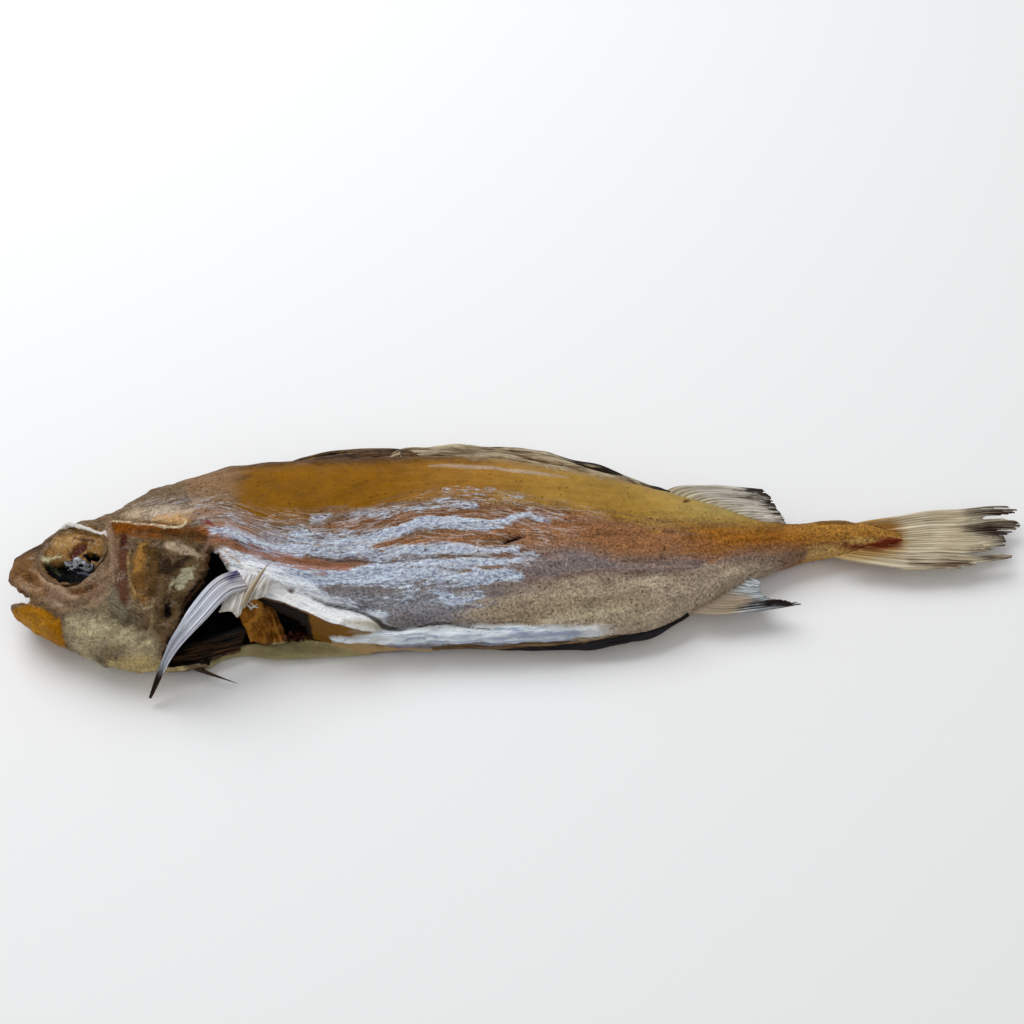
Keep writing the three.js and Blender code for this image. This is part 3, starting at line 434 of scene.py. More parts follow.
# Smaller patches, each a chain of discs.
SKIN_PATCHES = {
    "belly grey": ((82, -15.5, 3), (94, -18, 5), (106, -19, 6), (122, -19.5, 5), (132, -19.5, 3)),
    "low tan": ((112, -22.5, 0.6), (122, -22.5, 1.8), (134, -21.5, 3), (146, -20.5, 3), (158, -20.5, 3)),
    "low light": ((134, -24, 0.4), (143, -23, 1), (149, -22.5, 1), (156, -22, 0.9), (163, -22.5, 0.3)),
    "nape": ((36, 13, 5), (44, 14, 9), (50, 15, 8), (54, 20, 5)),
    "shoulder shade": ((54.5, 20, 0.6), (59, 18, 0.8), (62, 19.5, 0.5)),
    "copper 1": (
        (82, 1.5, 0.6), (90, 2, 1.4), (97, 3, 1.6), (104, 4, 1.4), (110, 4.5, 1.3), (116, 4.5, 1.3),
        (124, 4.5, 1.6), (136, 4, 2), (146, 2.5, 1.6),
    ),
    "copper 2": (
        (91, -4.5, 0.6), (97, -3.5, 1.7), (103, -2.5, 1.8), (110, -2.5, 1.8), (116, -3, 1.7),
        (122, -3, 1.4), (128.5, -1, 1.7), (136, 0.5, 2), (146, 0.5, 2.4), (158, -2, 2.6),
    ),
    "rust": (
        (54, -0.5, 0.8), (59.5, -3, 0.7), (63, -4, 0.9), (67.5, -5.5, 1.1), (71.5, -6.5, 1.2),
        (75.5, -7.5, 1.3), (79, -8.5, 1.3), (84, -8.5, 1.2), (87, -8, 0.9), (91, -7.5, 0.3),
    ),
    "rust nape": ((50, 1, 1), (53.5, 1.5, 0.9), (56, 3.5, 0.7), (59.5, 2.5, 0.6), (62.5, 1.5, 0.4)),
    "red thread": ((50.5, 4, 0.3), (52, 4, 0.5), (53.5, 2.5, 0.4)),
    "slit": ((125, -4, 0.2), (127, -3.5, 0.5), (129, -3, 0.5), (131.5, -2.5, 0.1)),
    "dark lines": (
        (77.5, -6, 0.2), (84, -7, 0.25), (89.5, -7, 0.3), (95, -8, 0.3), (100, -7.5, 0.25),
        (109, -7, 0.3), (114, -7, 0.3), (119, -7.5, 0.25), (127, -8.5, 0.1),
    ),
    # Painted shade in the crease behind the rolled lobe.
    "crease shade behind lobe": (
        (75, -14, 0.1), (80.5, -17, 0.3), (86, -18, 0.3), (89, -18.5, 0.4), (92, -20.5, 0.6),
        (94, -21.5, 0.7), (98, -22.5, 0.5), (102, -22.5, 0.4), (105.5, -22, 0.4), (110, -22, 0.3),
        (116, -23.5, 0.3), (121, -24, 0.1),
    ),
    "wall": (
        (56, -5.5, 2.2), (60, -8, 3.4), (66, -11.5, 4.4), (72, -14.5, 4.2), (80, -18.5, 3), (88, -21, 3),
        (93, -22, 2.4),
    ),
    "wall tan": ((55, -3.5, 0.2), (57, -5.5, 0.5), (59.5, -8, 0.5), (62.5, -10.5, 0.3), (64, -11.5, 0.1)),
    # Painted shade on the rolled lobe's underside.
    "lobe underside shade": ((85, -21.5, 0.5), (89, -22, 1.1), (92, -22, 1.1), (95.5, -22, 0.9)),
    "purple root": ((57.5, -9.5, 0.8), (58.5, -10, 1.3), (60, -11, 0.9)),
    "blood root": ((56, -8, 0.5), (57, -9, 0.8)),
    "fin fold": (
        (94, 29.5, 0.1), (104, 29, 0.4), (112, 28.5, 1.6), (120, 27.5, 2.4), (128, 26, 2.5),
        (137, 23, 2), (146, 21, 1.4), (158, 17.5, 0.6),
    ),
    "loose hairs": (
        (38, 11, 4), (50, 9, 5), (62, 3, 4), (76, 0, 5), (92, -2, 7), (108, 0, 11), (124, 0, 11),
        (140, 2, 5), (150, 4, 1),
    ),
    "back silk": ((108, 21.5, 0.2), (114, 21.5, 0.7), (124, 20.5, 0.8), (134, 19, 0.7), (144, 17.5, 0.3)),
    "tail spot": ((212, -3.5, 0.2), (220, -3.5, 0.6), (224, -3, 0.9), (226.5, -2.5, 1), (229.5, -2, 0.4)),
    "tail freckles": ((214, -3, 0.5), (214.5, -3, 0.5), (215, -2.5, 0.3)),
    "stalk streaks": ((208, 3, 0.3), (214, 3, 0.9), (219.5, 4, 0.8), (224, 4.5, 0.5), (228, 4.5, 0.3)),
    "stalk gold": ((200, 1, 1), (208, 1.5, 3), (218, 1.5, 3.6), (230, 1, 3)),
    "stalk low": ((205, -5, 1), (211, -4.5, 1.4), (218, -4, 2), (226, -4, 2.2), (232, -3.5, 2)),
    "dark dot": ((166, -6.5, 0.35), (166, -6, 0.35)),
    "fin pit": ((173.5, 10, 0.3), (174.5, 11, 0.7), (175.5, 11, 0.2)),
    "snout": ((0, 4, 4), (3, 0, 5), (7, -4, 4), (10, -9, 2)),
    "snout dark": ((1, 5, 1.4), (5, 5.5, 1.6), (8, 5, 1)),
    "upper lip": ((3.5, -4, 0.8), (6, -6.5, 1.3), (10, -8.5, 1)),
    "under eye": ((14.5, -9.5, 1), (18, -11.5, 1.4), (22, -12, 1.2), (25, -11, 0.6)),
    "cheek": ((18, -17.5, 3), (24, -16.5, 4.6), (30, -18, 4.6), (33, -22, 3), (24, -22.5, 3.6)),
    "cheek light": (
        (18, -18.5, 1), (21, -20.5, 2.6), (26, -21, 1.6), (30, -22, 1.2), (34, -24.5, 1.8),
        (37, -24.5, 1.4),
    ),
    "cheek grey": ((27, -11, 1.6), (30, -14, 2), (31, -18, 1.6)),
    "face": ((7, -4, 2), (11, -8, 3), (17, -12, 3), (24, -12.5, 2.6), (28, -9, 1.6)),
    # Painted highlight along the face's raised ridge.
    "face ridge highlight": (
        (7.5, -2.5, 0.3), (10.5, -5, 0.5), (13.5, -8.5, 0.7), (16, -11, 0.8), (19.5, -13.5, 0.5),
    ),
    "eye rib": (
        (26.5, 6.5, 0.6), (28, 1, 0.9), (28.5, -3, 0.8), (29, -6, 0.7), (28, -8.5, 0.6), (26, -10, 0.3),
    ),
    "head band": ((28.5, 6, 1), (32, 3.5, 2.4), (38, 2.5, 2.2), (44, 1, 1.8), (50, 0, 1.6)),
    "band dark": (
        (34, 2.5, 0.6), (36, 2, 0.9), (39, 2, 0.5), (44, 0, 1.4), (48, 0.5, 1.2), (51, -0.5, 0.8),
    ),
    "blood spot": ((31, 2, 0.9), (31, 0.5, 1.2), (30.5, -0.5, 0.8)),
    "maroon": ((31.5, -1.5, 1.2), (31.5, -6, 1.6), (31, -11, 1.5), (32, -16, 1)),
    # Painted highlight at the top of the maroon band.
    "maroon highlight": ((31, -1.5, 0.4), (33, -1.5, 0.5)),
    "plate": ((36, -3, 2), (35.5, -8, 2.2), (35.5, -13, 2), (37.5, -15, 1.4)),
    "plate shade": ((33.5, -10, 1), (35.5, -12.5, 1.6), (37.5, -8, 0.9), (37, -3, 0.7)),
    "plate rim": ((33, -2, 0.2), (32.5, -6, 0.4), (33, -11, 0.3), (34.5, -14.5, 0.2)),
    "plate rear": ((39, -3, 1.5), (39, -9, 1.6), (38.5, -15, 1.4)),
    "plate line": ((40.5, -2, 0.3), (40.5, -6.5, 0.5), (40.5, -10.5, 0.3)),
    "gill cover": (
        (43, -3, 2.6), (46, -5, 4.4), (49, -7.5, 3), (44, -11, 3), (43, -17, 2.6), (41, -21, 1.6),
    ),
    "cover light": ((42.5, -2.5, 0.7), (45, -3.5, 1), (48, -4.5, 0.8), (50.5, -6.5, 0.4)),
    "cover dark": ((41.5, -6, 0.8), (42.5, -9, 1.6), (44, -8.5, 1.2), (47, -6, 1), (50, -3.5, 0.8)),
    "warm silk": ((49, 7, 1.6), (54, 6, 2.4), (59, 3.5, 2.2), (65, 0.5, 1.4), (71, -1, 0.6)),
    "wall stain": ((53, -2.5, 0.5), (55, -5, 0.6), (57, -8, 0.5), (59, -10.5, 0.2)),
    "wall grain": ((54, -2.5, 0.2), (58, -5.5, 0.4), (62, -8.5, 0.3), (68, -12, 0.2), (73, -14.5, 0.1)),
    # Painted shadow along the gill cover's rear edge, where the gap under it is dark.
    "cover gap shadow": (
        (53, -8.5, 0.8), (52, -11.5, 1.7), (50, -14.5, 2), (47.5, -17.5, 2.2), (46.5, -21, 1.9),
        (45, -24.5, 1.5),
    ),
    # Painted shade inside the small hole in the gill cover.
    "cover hole shade": ((42, -16.5, 0.6), (42, -18.5, 0.9)),
    "cover low": ((41, -19, 1.4), (44, -17, 1), (47.5, -15, 0.6)),
    "pale patch": ((42.5, -14, 0.3), (43.5, -13, 0.9), (45.5, -12, 1), (47, -10.5, 1), (48.5, -8.5, 0.6)),
    "crown": ((31, 9.5, 1), (36, 8.5, 2.2), (42, 7.5, 2.4), (46, 7.5, 1.4), (52, 8, 0.6)),
    "crown patch": ((38.5, 6, 0.6), (41.5, 6, 1.4), (44.5, 5.5, 1.6), (47, 5, 0.7)),
    "crest": (
        (27, 8, 0.1), (28, 7.5, 0.2), (32.5, 5.5, 0.25), (35.5, 4.5, 0.25), (39, 3.5, 0.3),
        (41.5, 2.5, 0.35), (44, 2.5, 0.35), (46, 3, 0.3), (46.5, 4.5, 0.2), (45.5, 6.5, 0.1),
    ),
    "rear rib": ((39, -16, 0.4), (38.5, -18.5, 0.5), (38.5, -20.5, 0.5), (37.5, -22.5, 0.3)),
    "small rib": ((36.5, -18, 0.25), (38.5, -18, 0.3)),
    "jaw": ((1.5, -11, 1.2), (5, -12.5, 1.9), (9.5, -15, 2.2), (13.5, -17.5, 2), (14.5, -19.5, 1)),
    "jaw light": ((4, -13, 0.8), (8, -15, 1.2), (11, -16.5, 0.8)),
    "throat": ((27, -26, 0.8), (32, -26.5, 1.2), (38, -27, 1.2), (44, -26.5, 0.8)),
    "mouth": MOUTH,
    # Painted shade on the gill chamber's floor.
    "gill floor shade": ((36, -23, 4), (46, -23, 5), (56, -19, 4)),
    "olive lip": (
        (49.5, -25.5, 2, 1), (53, -23.5, 2, 2), (58, -22, 2, 2.6), (64, -22, 1.6, 3.2),
        (72, -22.5, 1.6, 3.6), (80, -23, 1.6, 3.6), (88, -23.5, 2, 3),
    ),
    "tan edge": (
        (81.5, -23, 5, 1.2), (86, -24, 5, 2), (91, -25.5, 4.4, 2.2), (97, -26, 3.6, 2),
        (104, -25.5, 3, 1.4), (112, -25, 3, 1),
    ),
    # Painted shade along the tan edge's underside.
    "shade under tan edge": (
        (83, -24.5, 4, 0.8), (88, -25.5, 3.4, 1.2), (94, -26, 3, 1.3), (98, -26.5, 2.4, 0.8),
    ),
    "strip shade": (
        (96, -25, 0.3), (106, -25.5, 0.7), (118, -26, 0.8), (130, -26, 0.7), (142, -26.5, 0.8),
    ),
}
patch_depth = zones(skin_mesh, skin, SKIN_PATCHES)

# How fully silvery fibres cover the skin, 0 to 1: cover and softness, then a chain of discs. Their
# bright tone is partly painted sheen.
SILKS = (
    (0.14, 3, (40, 9, 3), (48, 9, 4), (54, 8, 3), (60, 6.5, 1.2), (66, 3.5, 0.4)),
    (0.36, 2, (50, 4.5, 0.6), (57.5, 5, 1.2), (60.5, 4, 1.2), (63.5, 2.5, 1.1), (67, 2, 0.6)),
    (0.8, 2, (53.5, 1.5, 0.6), (57, 1, 1.2), (60.5, -0.5, 1.4), (65, -2.5, 2), (70, -3.5, 2),
     (74, -4.5, 1.2)),
    (0.55, 3, (66, -1, 1.4), (72, -1.5, 2.6), (80, -2.5, 2.4), (88, -2.5, 2), (95, -1.5, 1)),
    (0.7, 1.4, (76, -4.5, 0.6), (82, -5, 1.2), (88, -5, 1.4), (94, -6, 1), (99, -6.5, 0.4)),
    (0.36, 2.2, (78, 4, 0.6), (86, 5, 1), (92, 4.5, 1), (98, 5.5, 0.8), (103.5, 6, 0.9), (108, 7, 1),
     (112, 8, 1), (115, 7.5, 0.9), (119, 6, 0.4)),
    (0.82, 1.2, (84, -3, 0.8), (90, -3, 1), (97, -1, 1), (103.5, 1, 1.1), (107.5, 2, 1.4), (113, 2, 1.4),
     (117.5, 1, 1.2), (122, 0.5, 0.9), (125.5, 1, 0.7), (129, 3, 0.7), (133, 3.5, 0.4)),
    (0.4, 2, (126, 2, 0.6), (132, 3, 1), (136, 2, 0.8), (141, 3.5, 0.3)),
    (0.8, 1.2, (93, -5.5, 0.4), (99, -5, 0.8), (106.5, -5, 1.1), (111, -5, 1.2), (117, -5.5, 1),
     (122, -6, 0.8), (129, -6, 0.3)),
    (0.84, 1.6, (92, -9.5, 0.6), (100, -8.5, 0.7), (105, -8.5, 0.8), (110, -9, 0.9), (115.5, -9, 0.8),
     (122, -9, 0.7), (129, -9, 0.2)),
    (0.86, 2.2, (62, -6.5, 1.4), (68, -8.5, 1.8), (76, -10.5, 1.8), (84, -11, 1.8), (92, -11, 1.9),
     (97, -11, 1.7), (104.5, -11.5, 1.2), (109, -11.5, 0.8), (114, -13, 0.9), (120, -13, 1.1),
     (124.5, -12.5, 0.9), (128.5, -13.5, 0.4)),
    (0.6, 1.6, (94, -13, 0.6), (98, -14, 0.9), (102.5, -14, 0.7), (106, -13.5, 0.3)),
    (0.55, 1.4, (106, -16, 0.3), (111, -17, 0.7), (116.5, -18, 0.3)),
    (0.5, 1.4, (112, -15, 0.3), (117, -16, 0.7), (120, -17, 0.3)),
    (0.3, 3, (114, -10.5, 1.6), (124, -9.5, 2), (132, -8.5, 1.6)),
    (0.24, 4, (92, -15, 2), (104, -16, 3), (118, -17, 3)),
    (0.26, 3, (112, 11, 1), (122, 10.5, 1.4), (130, 9, 1)),
)
silver_and_sheen = np.max([
    cover * ramp(chain(skin, *discs), -softness, softness * 0.4) for cover, softness, *discs in SILKS
], axis=0)
silver_and_sheen = np.maximum(silver_and_sheen, 0.92 * ramp(patch_depth["wall"], -1.5, 1))
silver_and_sheen = np.clip(silver_and_sheen + 0.14 * swell(grain, (9, 3, 20), 14) * ramp(silver_and_sheen, 0.02, 0.2), 0, 1)
zone(skin_mesh, "silver_and_sheen", silver_and_sheen * on_left)


def seen(red, green, blue):
    """A colour as the eye sees it, 0 to 255, in Blender's linear light."""
    share = np.array([red, green, blue]) / 255
    return (*np.where(share < 0.04045, share / 12.92, ((share + 0.055) / 1.055) ** 2.4), 1)


def put(tree, kind, inputs=(), **settings):
    """A shader node with its settings; each input is a value or a socket to link."""
    made = tree.nodes.new("ShaderNode" + kind)
    for name, value in settings.items():
        setattr(made, name, value)
    for name, value in dict(inputs).items():
        if isinstance(value, bpy.types.NodeSocket):
            tree.links.new(value, made.inputs[name])
        else:
            made.inputs[name].default_value = value
    return made


def group(name, inputs, outputs):
    """An empty node group with named float, colour or vector sockets."""
    tree = bpy.data.node_groups.new(name, "ShaderNodeTree")
    for names, side in ((inputs, "INPUT"), (outputs, "OUTPUT")):
        for socket, kind in names.items():
            tree.interface.new_socket(socket, in_out=side, socket_type="NodeSocket" + kind)
    return tree, tree.nodes.new("NodeGroupInput").outputs, tree.nodes.new("NodeGroupOutput").inputs


def use(tree, made_group, inputs):
    """The outputs of a node group, used with these inputs."""
    return put(tree, "Group", inputs, node_tree=made_group).outputs


def figure(tree, operation, *values, clamp=False):
    """The result of one operation on sockets or numbers, as a socket."""
    made = put(tree, "Math", enumerate(values), operation=operation, use_clamp=clamp)
    return made.outputs[0]


def times(tree, value, factor, clamp=False):
    return figure(tree, "MULTIPLY", value, factor, clamp=clamp)


def scaled(tree, value, factor, shift, clamp=False):
    """A value times a factor, plus a shift."""
    return figure(tree, "MULTIPLY_ADD", value, factor, shift, clamp=clamp)


def rest(tree, share, clamp=False):
    """What a share leaves of 1."""
    return figure(tree, "SUBTRACT", 1, share, clamp=clamp)


def centred(tree, pattern):
    """A pattern of 0 to 1, moved down to lie about 0."""
    return figure(tree, "SUBTRACT", pattern, 0.5)


def spread(tree, value, contrast, middle=0.5, clamp=True):
    """Stretches a pattern about its middle and brings the middle to a half."""
    return scaled(tree, value, contrast, 0.5 - contrast * middle, clamp)


def blend(tree, share, below, above, mode="MIX"):
    """Two colours mixed by a share; each is a socket or a tone as in seen()."""
    made = put(tree, "Mix", data_type="RGBA", blend_type=mode, clamp_result=True)
    for socket, value in ((0, share), (6, below), (7, above)):
        if isinstance(value, bpy.types.NodeSocket):
            tree.links.new(value, made.inputs[socket])
        elif isinstance(value, tuple):
            made.inputs[socket].default_value = seen(*value)
        else:
            made.inputs[socket].default_value = value
    return made.outputs[2]


def tinted(tree, colour, pattern, strength, tone):
    """A colour that takes on a tone where a pattern is, up to some strength."""
    return blend(tree, times(tree, pattern, strength), colour, tone)


def shaded(tree, colour, light):
    """A colour made lighter or darker by a factor."""
    grey = put(tree, "CombineColor", {"Red": light, "Green": light, "Blue": light}).outputs[0]
    return blend(tree, 1, colour, grey, "MULTIPLY")


def noise(tree, place, scale, detail=4.0, roughness=0.6, distortion=0.0, stretch=None):
    """A cloudy pattern of 0 to 1; a stretch gives each axis a pitch of its own."""
    if stretch:
        place = put(tree, "Mapping", {"Vector": place, "Scale": stretch}).outputs[0]
    made = put(tree, "TexNoise", {"Vector": place, "Scale": scale, "Detail": detail,
                                  "Roughness": roughness, "Distortion": distortion})
    return made.outputs[0]


def place_in(tree, space="Object"):
    """The place that is being shaded, in metres, or by "UV" in a sheet's own shares."""
    return put(tree, "TexCoord").outputs[space]


def kept(tree, name, output="Fac"):
    """What zone() has kept on the mesh under this name."""
    return put(tree, "Attribute", attribute_name=name).outputs[output]


# A zone's edge: the depth inside the zone, broken up by a pattern and cut with some softness.
edge_tree, given, result = group(
    "ragged edge", {"Depth": "Float", "Pattern": "Float", "Rag": "Float", "Softness": "Float"},
    {"Mask": "Float"},
)
broken = centred(edge_tree, given["Pattern"])
broken = scaled(edge_tree, broken, given["Rag"], given["Depth"])
broken = figure(edge_tree, "DIVIDE", broken, given["Softness"])
edge_tree.links.new(figure(edge_tree, "ADD", broken, 0.5, clamp=True), result["Mask"])

# Dried fibres, which run with the grain: broad streaks, strands, fine fibres and single hairs.
FIBRE_KINDS = ("Streaks", "Strands", "Fine", "Hairs")
fibre_tree, given, result = group("fibres", {"Grain": "Vector"}, dict.fromkeys(FIBRE_KINDS, "Float"))
streaks = noise(fibre_tree, given["Grain"], 1, 6, 0.62, 0.8, (0.07, 0.5, 0.2))
strands = noise(fibre_tree, given["Grain"], 1, 3, 0.6, 0.5, (0.22, 1.35, 0.2))
fine = noise(fibre_tree, given["Grain"], 1, 2, 0.6, 0.4, (0.7, 2.3, 0.2))
hair = noise(fibre_tree, given["Grain"], 1, 2, 0.5, 0.9, (0.09, 0.95, 0.2))
hair = figure(fibre_tree, "ABSOLUTE", centred(fibre_tree, hair))
hair = scaled(fibre_tree, hair, -22, 1, clamp=True)
fibre_tree.links.new(streaks, result["Streaks"])
fibre_tree.links.new(strands, result["Strands"])
fibre_tree.links.new(fine, result["Fine"])
fibre_tree.links.new(hair, result["Hairs"])

# Fine wrinkles: a net of thin lines over a dried, shrunken surface.
wrinkle_tree, given, result = group(
    "wrinkles", {"Place": "Vector", "Scale": "Float", "Thinness": "Float"}, {"Lines": "Float"},
)
net = noise(wrinkle_tree, given["Place"], given["Scale"], 3, 0.55, 1.6)
net = figure(wrinkle_tree, "ABSOLUTE", centred(wrinkle_tree, net))
net = times(wrinkle_tree, net, given["Thinness"])
net = rest(wrinkle_tree, net, clamp=True)
wrinkle_tree.links.new(net, result["Lines"])

# Colour cells: small dark dots, of which only a share is there.
dot_tree, given, result = group(
    "dots", {"Place": "Vector", "Scale": "Float", "Size": "Float", "Share": "Float"}, {"Mask": "Float"},
)
cells = put(dot_tree, "TexVoronoi", {"Vector": given["Place"], "Scale": given["Scale"]})
dot = figure(dot_tree, "SUBTRACT", given["Size"], cells.outputs["Distance"])
dot = times(dot_tree, dot, 9, clamp=True)
chance = put(dot_tree, "SeparateColor", {"Color": cells.outputs["Color"]}).outputs[0]
there = figure(dot_tree, "LESS_THAN", chance, given["Share"])
dot_tree.links.new(times(dot_tree, dot, there), result["Mask"])


def wrinkles(tree, place, scale, thinness):
    return use(tree, wrinkle_tree, {"Place": place, "Scale": scale, "Thinness": thinness})["Lines"]


def dots_on(tree, place, scale, size, share):
    inputs = {"Place": place, "Scale": scale, "Size": size, "Share": share}
    return use(tree, dot_tree, inputs)["Mask"]


def new_finish(name, roughness, **fixed):
    """A material with its shader; fixed gives values that are the same all over."""
    material = bpy.data.materials.new(name)
    material.use_nodes = True
    tree = material.node_tree
    shader = tree.nodes["Principled BSDF"]
    shader.inputs["Roughness"].default_value = roughness
    for socket, value in fixed.items():
        shader.inputs[socket.replace("_", " ")].default_value = value
    return material, tree, shader


def mask_of(tree, name, rag, softness, pattern):
    """1 inside a zone and 0 outside; rag and softness of its edge are in mm."""
    return use(tree, edge_tree, {"Depth": kept(tree, name), "Pattern": pattern, "Rag": rag,
                                 "Softness": softness})["Mask"]


def surfaced(tree, shader, colour, relief, strength, distance):
    """Gives the shader its colour, and a bump from a pattern, up to a distance in mm."""
    tree.links.new(colour, shader.inputs["Base Color"])
    bump = put(tree, "Bump", {"Height": relief, "Strength": strength, "Distance": distance * MM})
    tree.links.new(bump.outputs[0], shader.inputs["Normal"])


def over(tree, colour, name, tone, rag, softness, pattern, strength=1.0):
    """Lays a zone's tone over the colour that is there."""
    mask = mask_of(tree, name, rag, softness, pattern)
    return tinted(tree, colour, mask, strength, tone)


def layered(tree, colour, layers):
    """Lays the tones of several zones one over the other, each as in over()."""
    for layer in layers:
        colour = over(tree, colour, *layer)
    return colour


skin_finish, tree, shader = new_finish("dried skin", 0.5, Specular_IOR_Level=0.06, Coat_Roughness=0.3)
place = place_in(tree)
fibres = use(tree, fibre_tree, {"Grain": kept(tree, "grain", "Vector")})
streaks, strands, fine, hairs = (fibres[name] for name in FIBRE_KINDS)
blotch = noise(tree, place, 240, 6, 0.66, 0.6)
cloud = noise(tree, place, 60)
grit = noise(tree, place, 1500, 2, 0.6, 0.3)

# Trunk, from the flank's ground tone up: zone, tone, ragged edge, softness and pattern, then the
# layer's strength where it isn't laid on fully.
TRUNK_LAYERS = (
    ("belly grey", (138, 135, 140), 14, 6, streaks),
    ("mauve", (134, 120, 118), 12, 5, streaks),
    ("olive rear", (174, 156, 134), 12, 4, streaks),
    ("low tan", (154, 136, 110), 8, 4, streaks, 0.7),
    ("low light", (198, 188, 158), 6, 2.4, streaks, 0.55),
    ("orange flank", (156, 108, 70), 12, 6, streaks),
    ("amber", (134, 88, 5), 18, 4, streaks),
    ("amber middle", (160, 113, 42), 14, 9, streaks),
    ("yellow back", (168, 130, 56), 14, 9, streaks),
    ("olive back", (172, 147, 82), 10, 8, streaks),
    ("orange tail", (152, 96, 28), 10, 6, streaks),
    ("stalk back", (160, 124, 62), 6, 4, streaks),
    ("stalk gold", (186, 134, 60), 10, 4, streaks, 0.8),
    ("stalk low", (206, 166, 98), 5, 1.6, streaks, 0.95),
    ("back shade", (78, 48, 12), 10, 4.4, blotch, 0.95),
    ("shoulder shade", (60, 44, 24), 3, 1.2, streaks, 0.7),
    ("back stalk line", (78, 56, 30), 4, 1.6, blotch, 0.7),
    ("fin fold", (142, 120, 88), 10, 3, blotch, 0.85),
    ("back silk", (180, 158, 138), 2, 1, streaks, 0.8),
    ("nape", (142, 110, 78), 16, 6, streaks),
    ("copper 1", (134, 86, 48), 8, 2.6, streaks, 0.95),
    ("copper 2", (152, 104, 68), 8, 2.6, streaks),
    ("rust nape", (150, 82, 30), 3, 1.2, streaks, 0.9),
    ("wall tan", (176, 140, 96), 1.4, 0.6, strands, 0.8),
)

# Head: these lie on its own ground tone, inside its ragged edge to the trunk.
HEAD_GROUND = (
    ("cheek", (120, 106, 82), 6, 5, blotch),
    ("cheek light", (204, 190, 150), 3, 3.6, blotch, 0.9),
    ("cheek grey", (112, 106, 88), 3, 3, blotch, 0.8),
    ("face", (148, 118, 92), 3, 4, blotch),
    ("snout", (116, 80, 44), 4, 3, blotch),
    ("under eye", (98, 62, 26), 3, 1.2, blotch, 0.9),
    ("snout dark", (72, 50, 34), 5, 2, blotch, 0.8),
    # Painted highlight along the face's raised ridge.
    ("face ridge highlight", (186, 156, 130), 4, 1.2, blotch, 0.7),
    ("upper lip", (156, 124, 94), 3, 1.4, blotch, 0.8),
    ("crown", (188, 164, 134), 5, 2, blotch, 0.9),
)

# Then bones, plates and jaw, which may reach over that edge.
HEAD_LAYERS = (
    ("head band", (124, 68, 2), 4, 1.6, blotch),
    ("band dark", (74, 48, 18), 4, 1.4, blotch, 0.9),
    ("maroon", (92, 56, 38), 3, 1.4, blotch),
    # Painted highlight at the top of the maroon band.
    ("maroon highlight", (128, 104, 96), 1, 0.7, blotch, 0.8),
    ("blood spot", (70, 18, 6), 2, 0.9, blotch),
    ("eye rib", (142, 114, 90), 1.6, 0.9, blotch, 0.9),
    ("plate", (154, 110, 50), 7, 1.6, blotch),
    ("plate shade", (90, 62, 28), 9, 1.4, blotch, 0.8),
    ("plate rear", (84, 60, 28), 6, 1.2, blotch),
    ("plate rim", (176, 150, 100), 1.4, 0.5, blotch, 0.7),
    ("gill cover", (96, 74, 46), 6, 1.8, blotch),
    ("cover dark", (40, 24, 8), 5, 1.4, blotch, 0.95),
    ("cover light", (170, 150, 122), 5, 0.8, blotch, 0.85),
    ("cover low", (78, 58, 34), 3, 1.2, blotch, 0.8),
    ("plate line", (44, 30, 16), 0.8, 0.5, blotch, 0.85),
    ("pale patch", (166, 160, 130), 8, 0.6, blotch, 0.95),
    # Painted shade inside the small hole in the gill cover.
    ("cover hole shade", (8, 6, 5), 1, 0.5, blotch),
    ("crown patch", (192, 146, 84), 3, 1.6, blotch, 0.9),
    ("crest", (236, 218, 184), 0.9, 0.5, blotch, 0.95),
    ("rear rib", (150, 130, 94), 1, 0.6, blotch, 0.8),
    ("small rib", (178, 160, 124), 0.8, 0.4, blotch, 0.8),
    ("jaw", (162, 106, 6), 2, 0.8, blotch),
    ("jaw light", (186, 134, 44), 4, 2, blotch, 0.6),
    ("throat", (190, 168, 116), 5, 1.2, streaks, 0.9),
)
colour = blend(tree, spread(tree, cloud, 3), (132, 104, 82), (116, 92, 72))
colour = layered(tree, colour, TRUNK_LAYERS)
head = mask_of(tree, "head", 2, 1, blotch)
head_tone = blend(tree, spread(tree, cloud, 4), (122, 98, 70), (98, 78, 54))
head_tone = layered(tree, head_tone, HEAD_GROUND)
colour = blend(tree, head, colour, head_tone)
colour = layered(tree, colour, HEAD_LAYERS)

# Mottling: large soft clouds, then coarse grit that the smooth amber back has little of.
mottle = scaled(tree, blotch, 0.8, times(tree, cloud, 0.5))
colour = shaded(tree, colour, scaled(tree, mottle, 1.1, 0.28))
shade = mask_of(tree, "back shade", 4, 4, blotch)
smoothness = times(tree, mask_of(tree, "amber", 6, 5, streaks), rest(tree, shade))
roughened = scaled(tree, smoothness, -1, 1.25)
roughened = times(tree, roughened, scaled(tree, head, -0.3, 1))
colour = shaded(tree, colour, scaled(tree, centred(tree, grit), times(tree, roughened, 1.9), 1))

# Silver: strands lie over the flank, close together on the silky bands and sparse elsewhere. Their
# blue-white is partly the skin's own silvery layer and partly painted sheen.
silver_and_sheen = kept(tree, "silver_and_sheen")
cover = scaled(tree, centred(tree, strands), 1.6, silver_and_sheen)
cover = scaled(tree, centred(tree, fine), 0.7, cover)
cover = spread(tree, cover, 2.4, 0.42)
cover = times(tree, cover, times(tree, silver_and_sheen, 5, clamp=True))
weave = scaled(tree, fine, 0.65, times(tree, grit, 0.35))
silver_and_sheen_tone = blend(tree, spread(tree, weave, 4), (130, 137, 172), (230, 244, 255))
wall_weave = scaled(tree, fine, 0.4, times(tree, strands, 0.6))
wall_tone = blend(tree, spread(tree, wall_weave, 6, 0.46), (184, 190, 208), (248, 252, 255))
silver_and_sheen_tone = blend(tree, mask_of(tree, "wall", 3, 2, streaks), silver_and_sheen_tone, wall_tone)
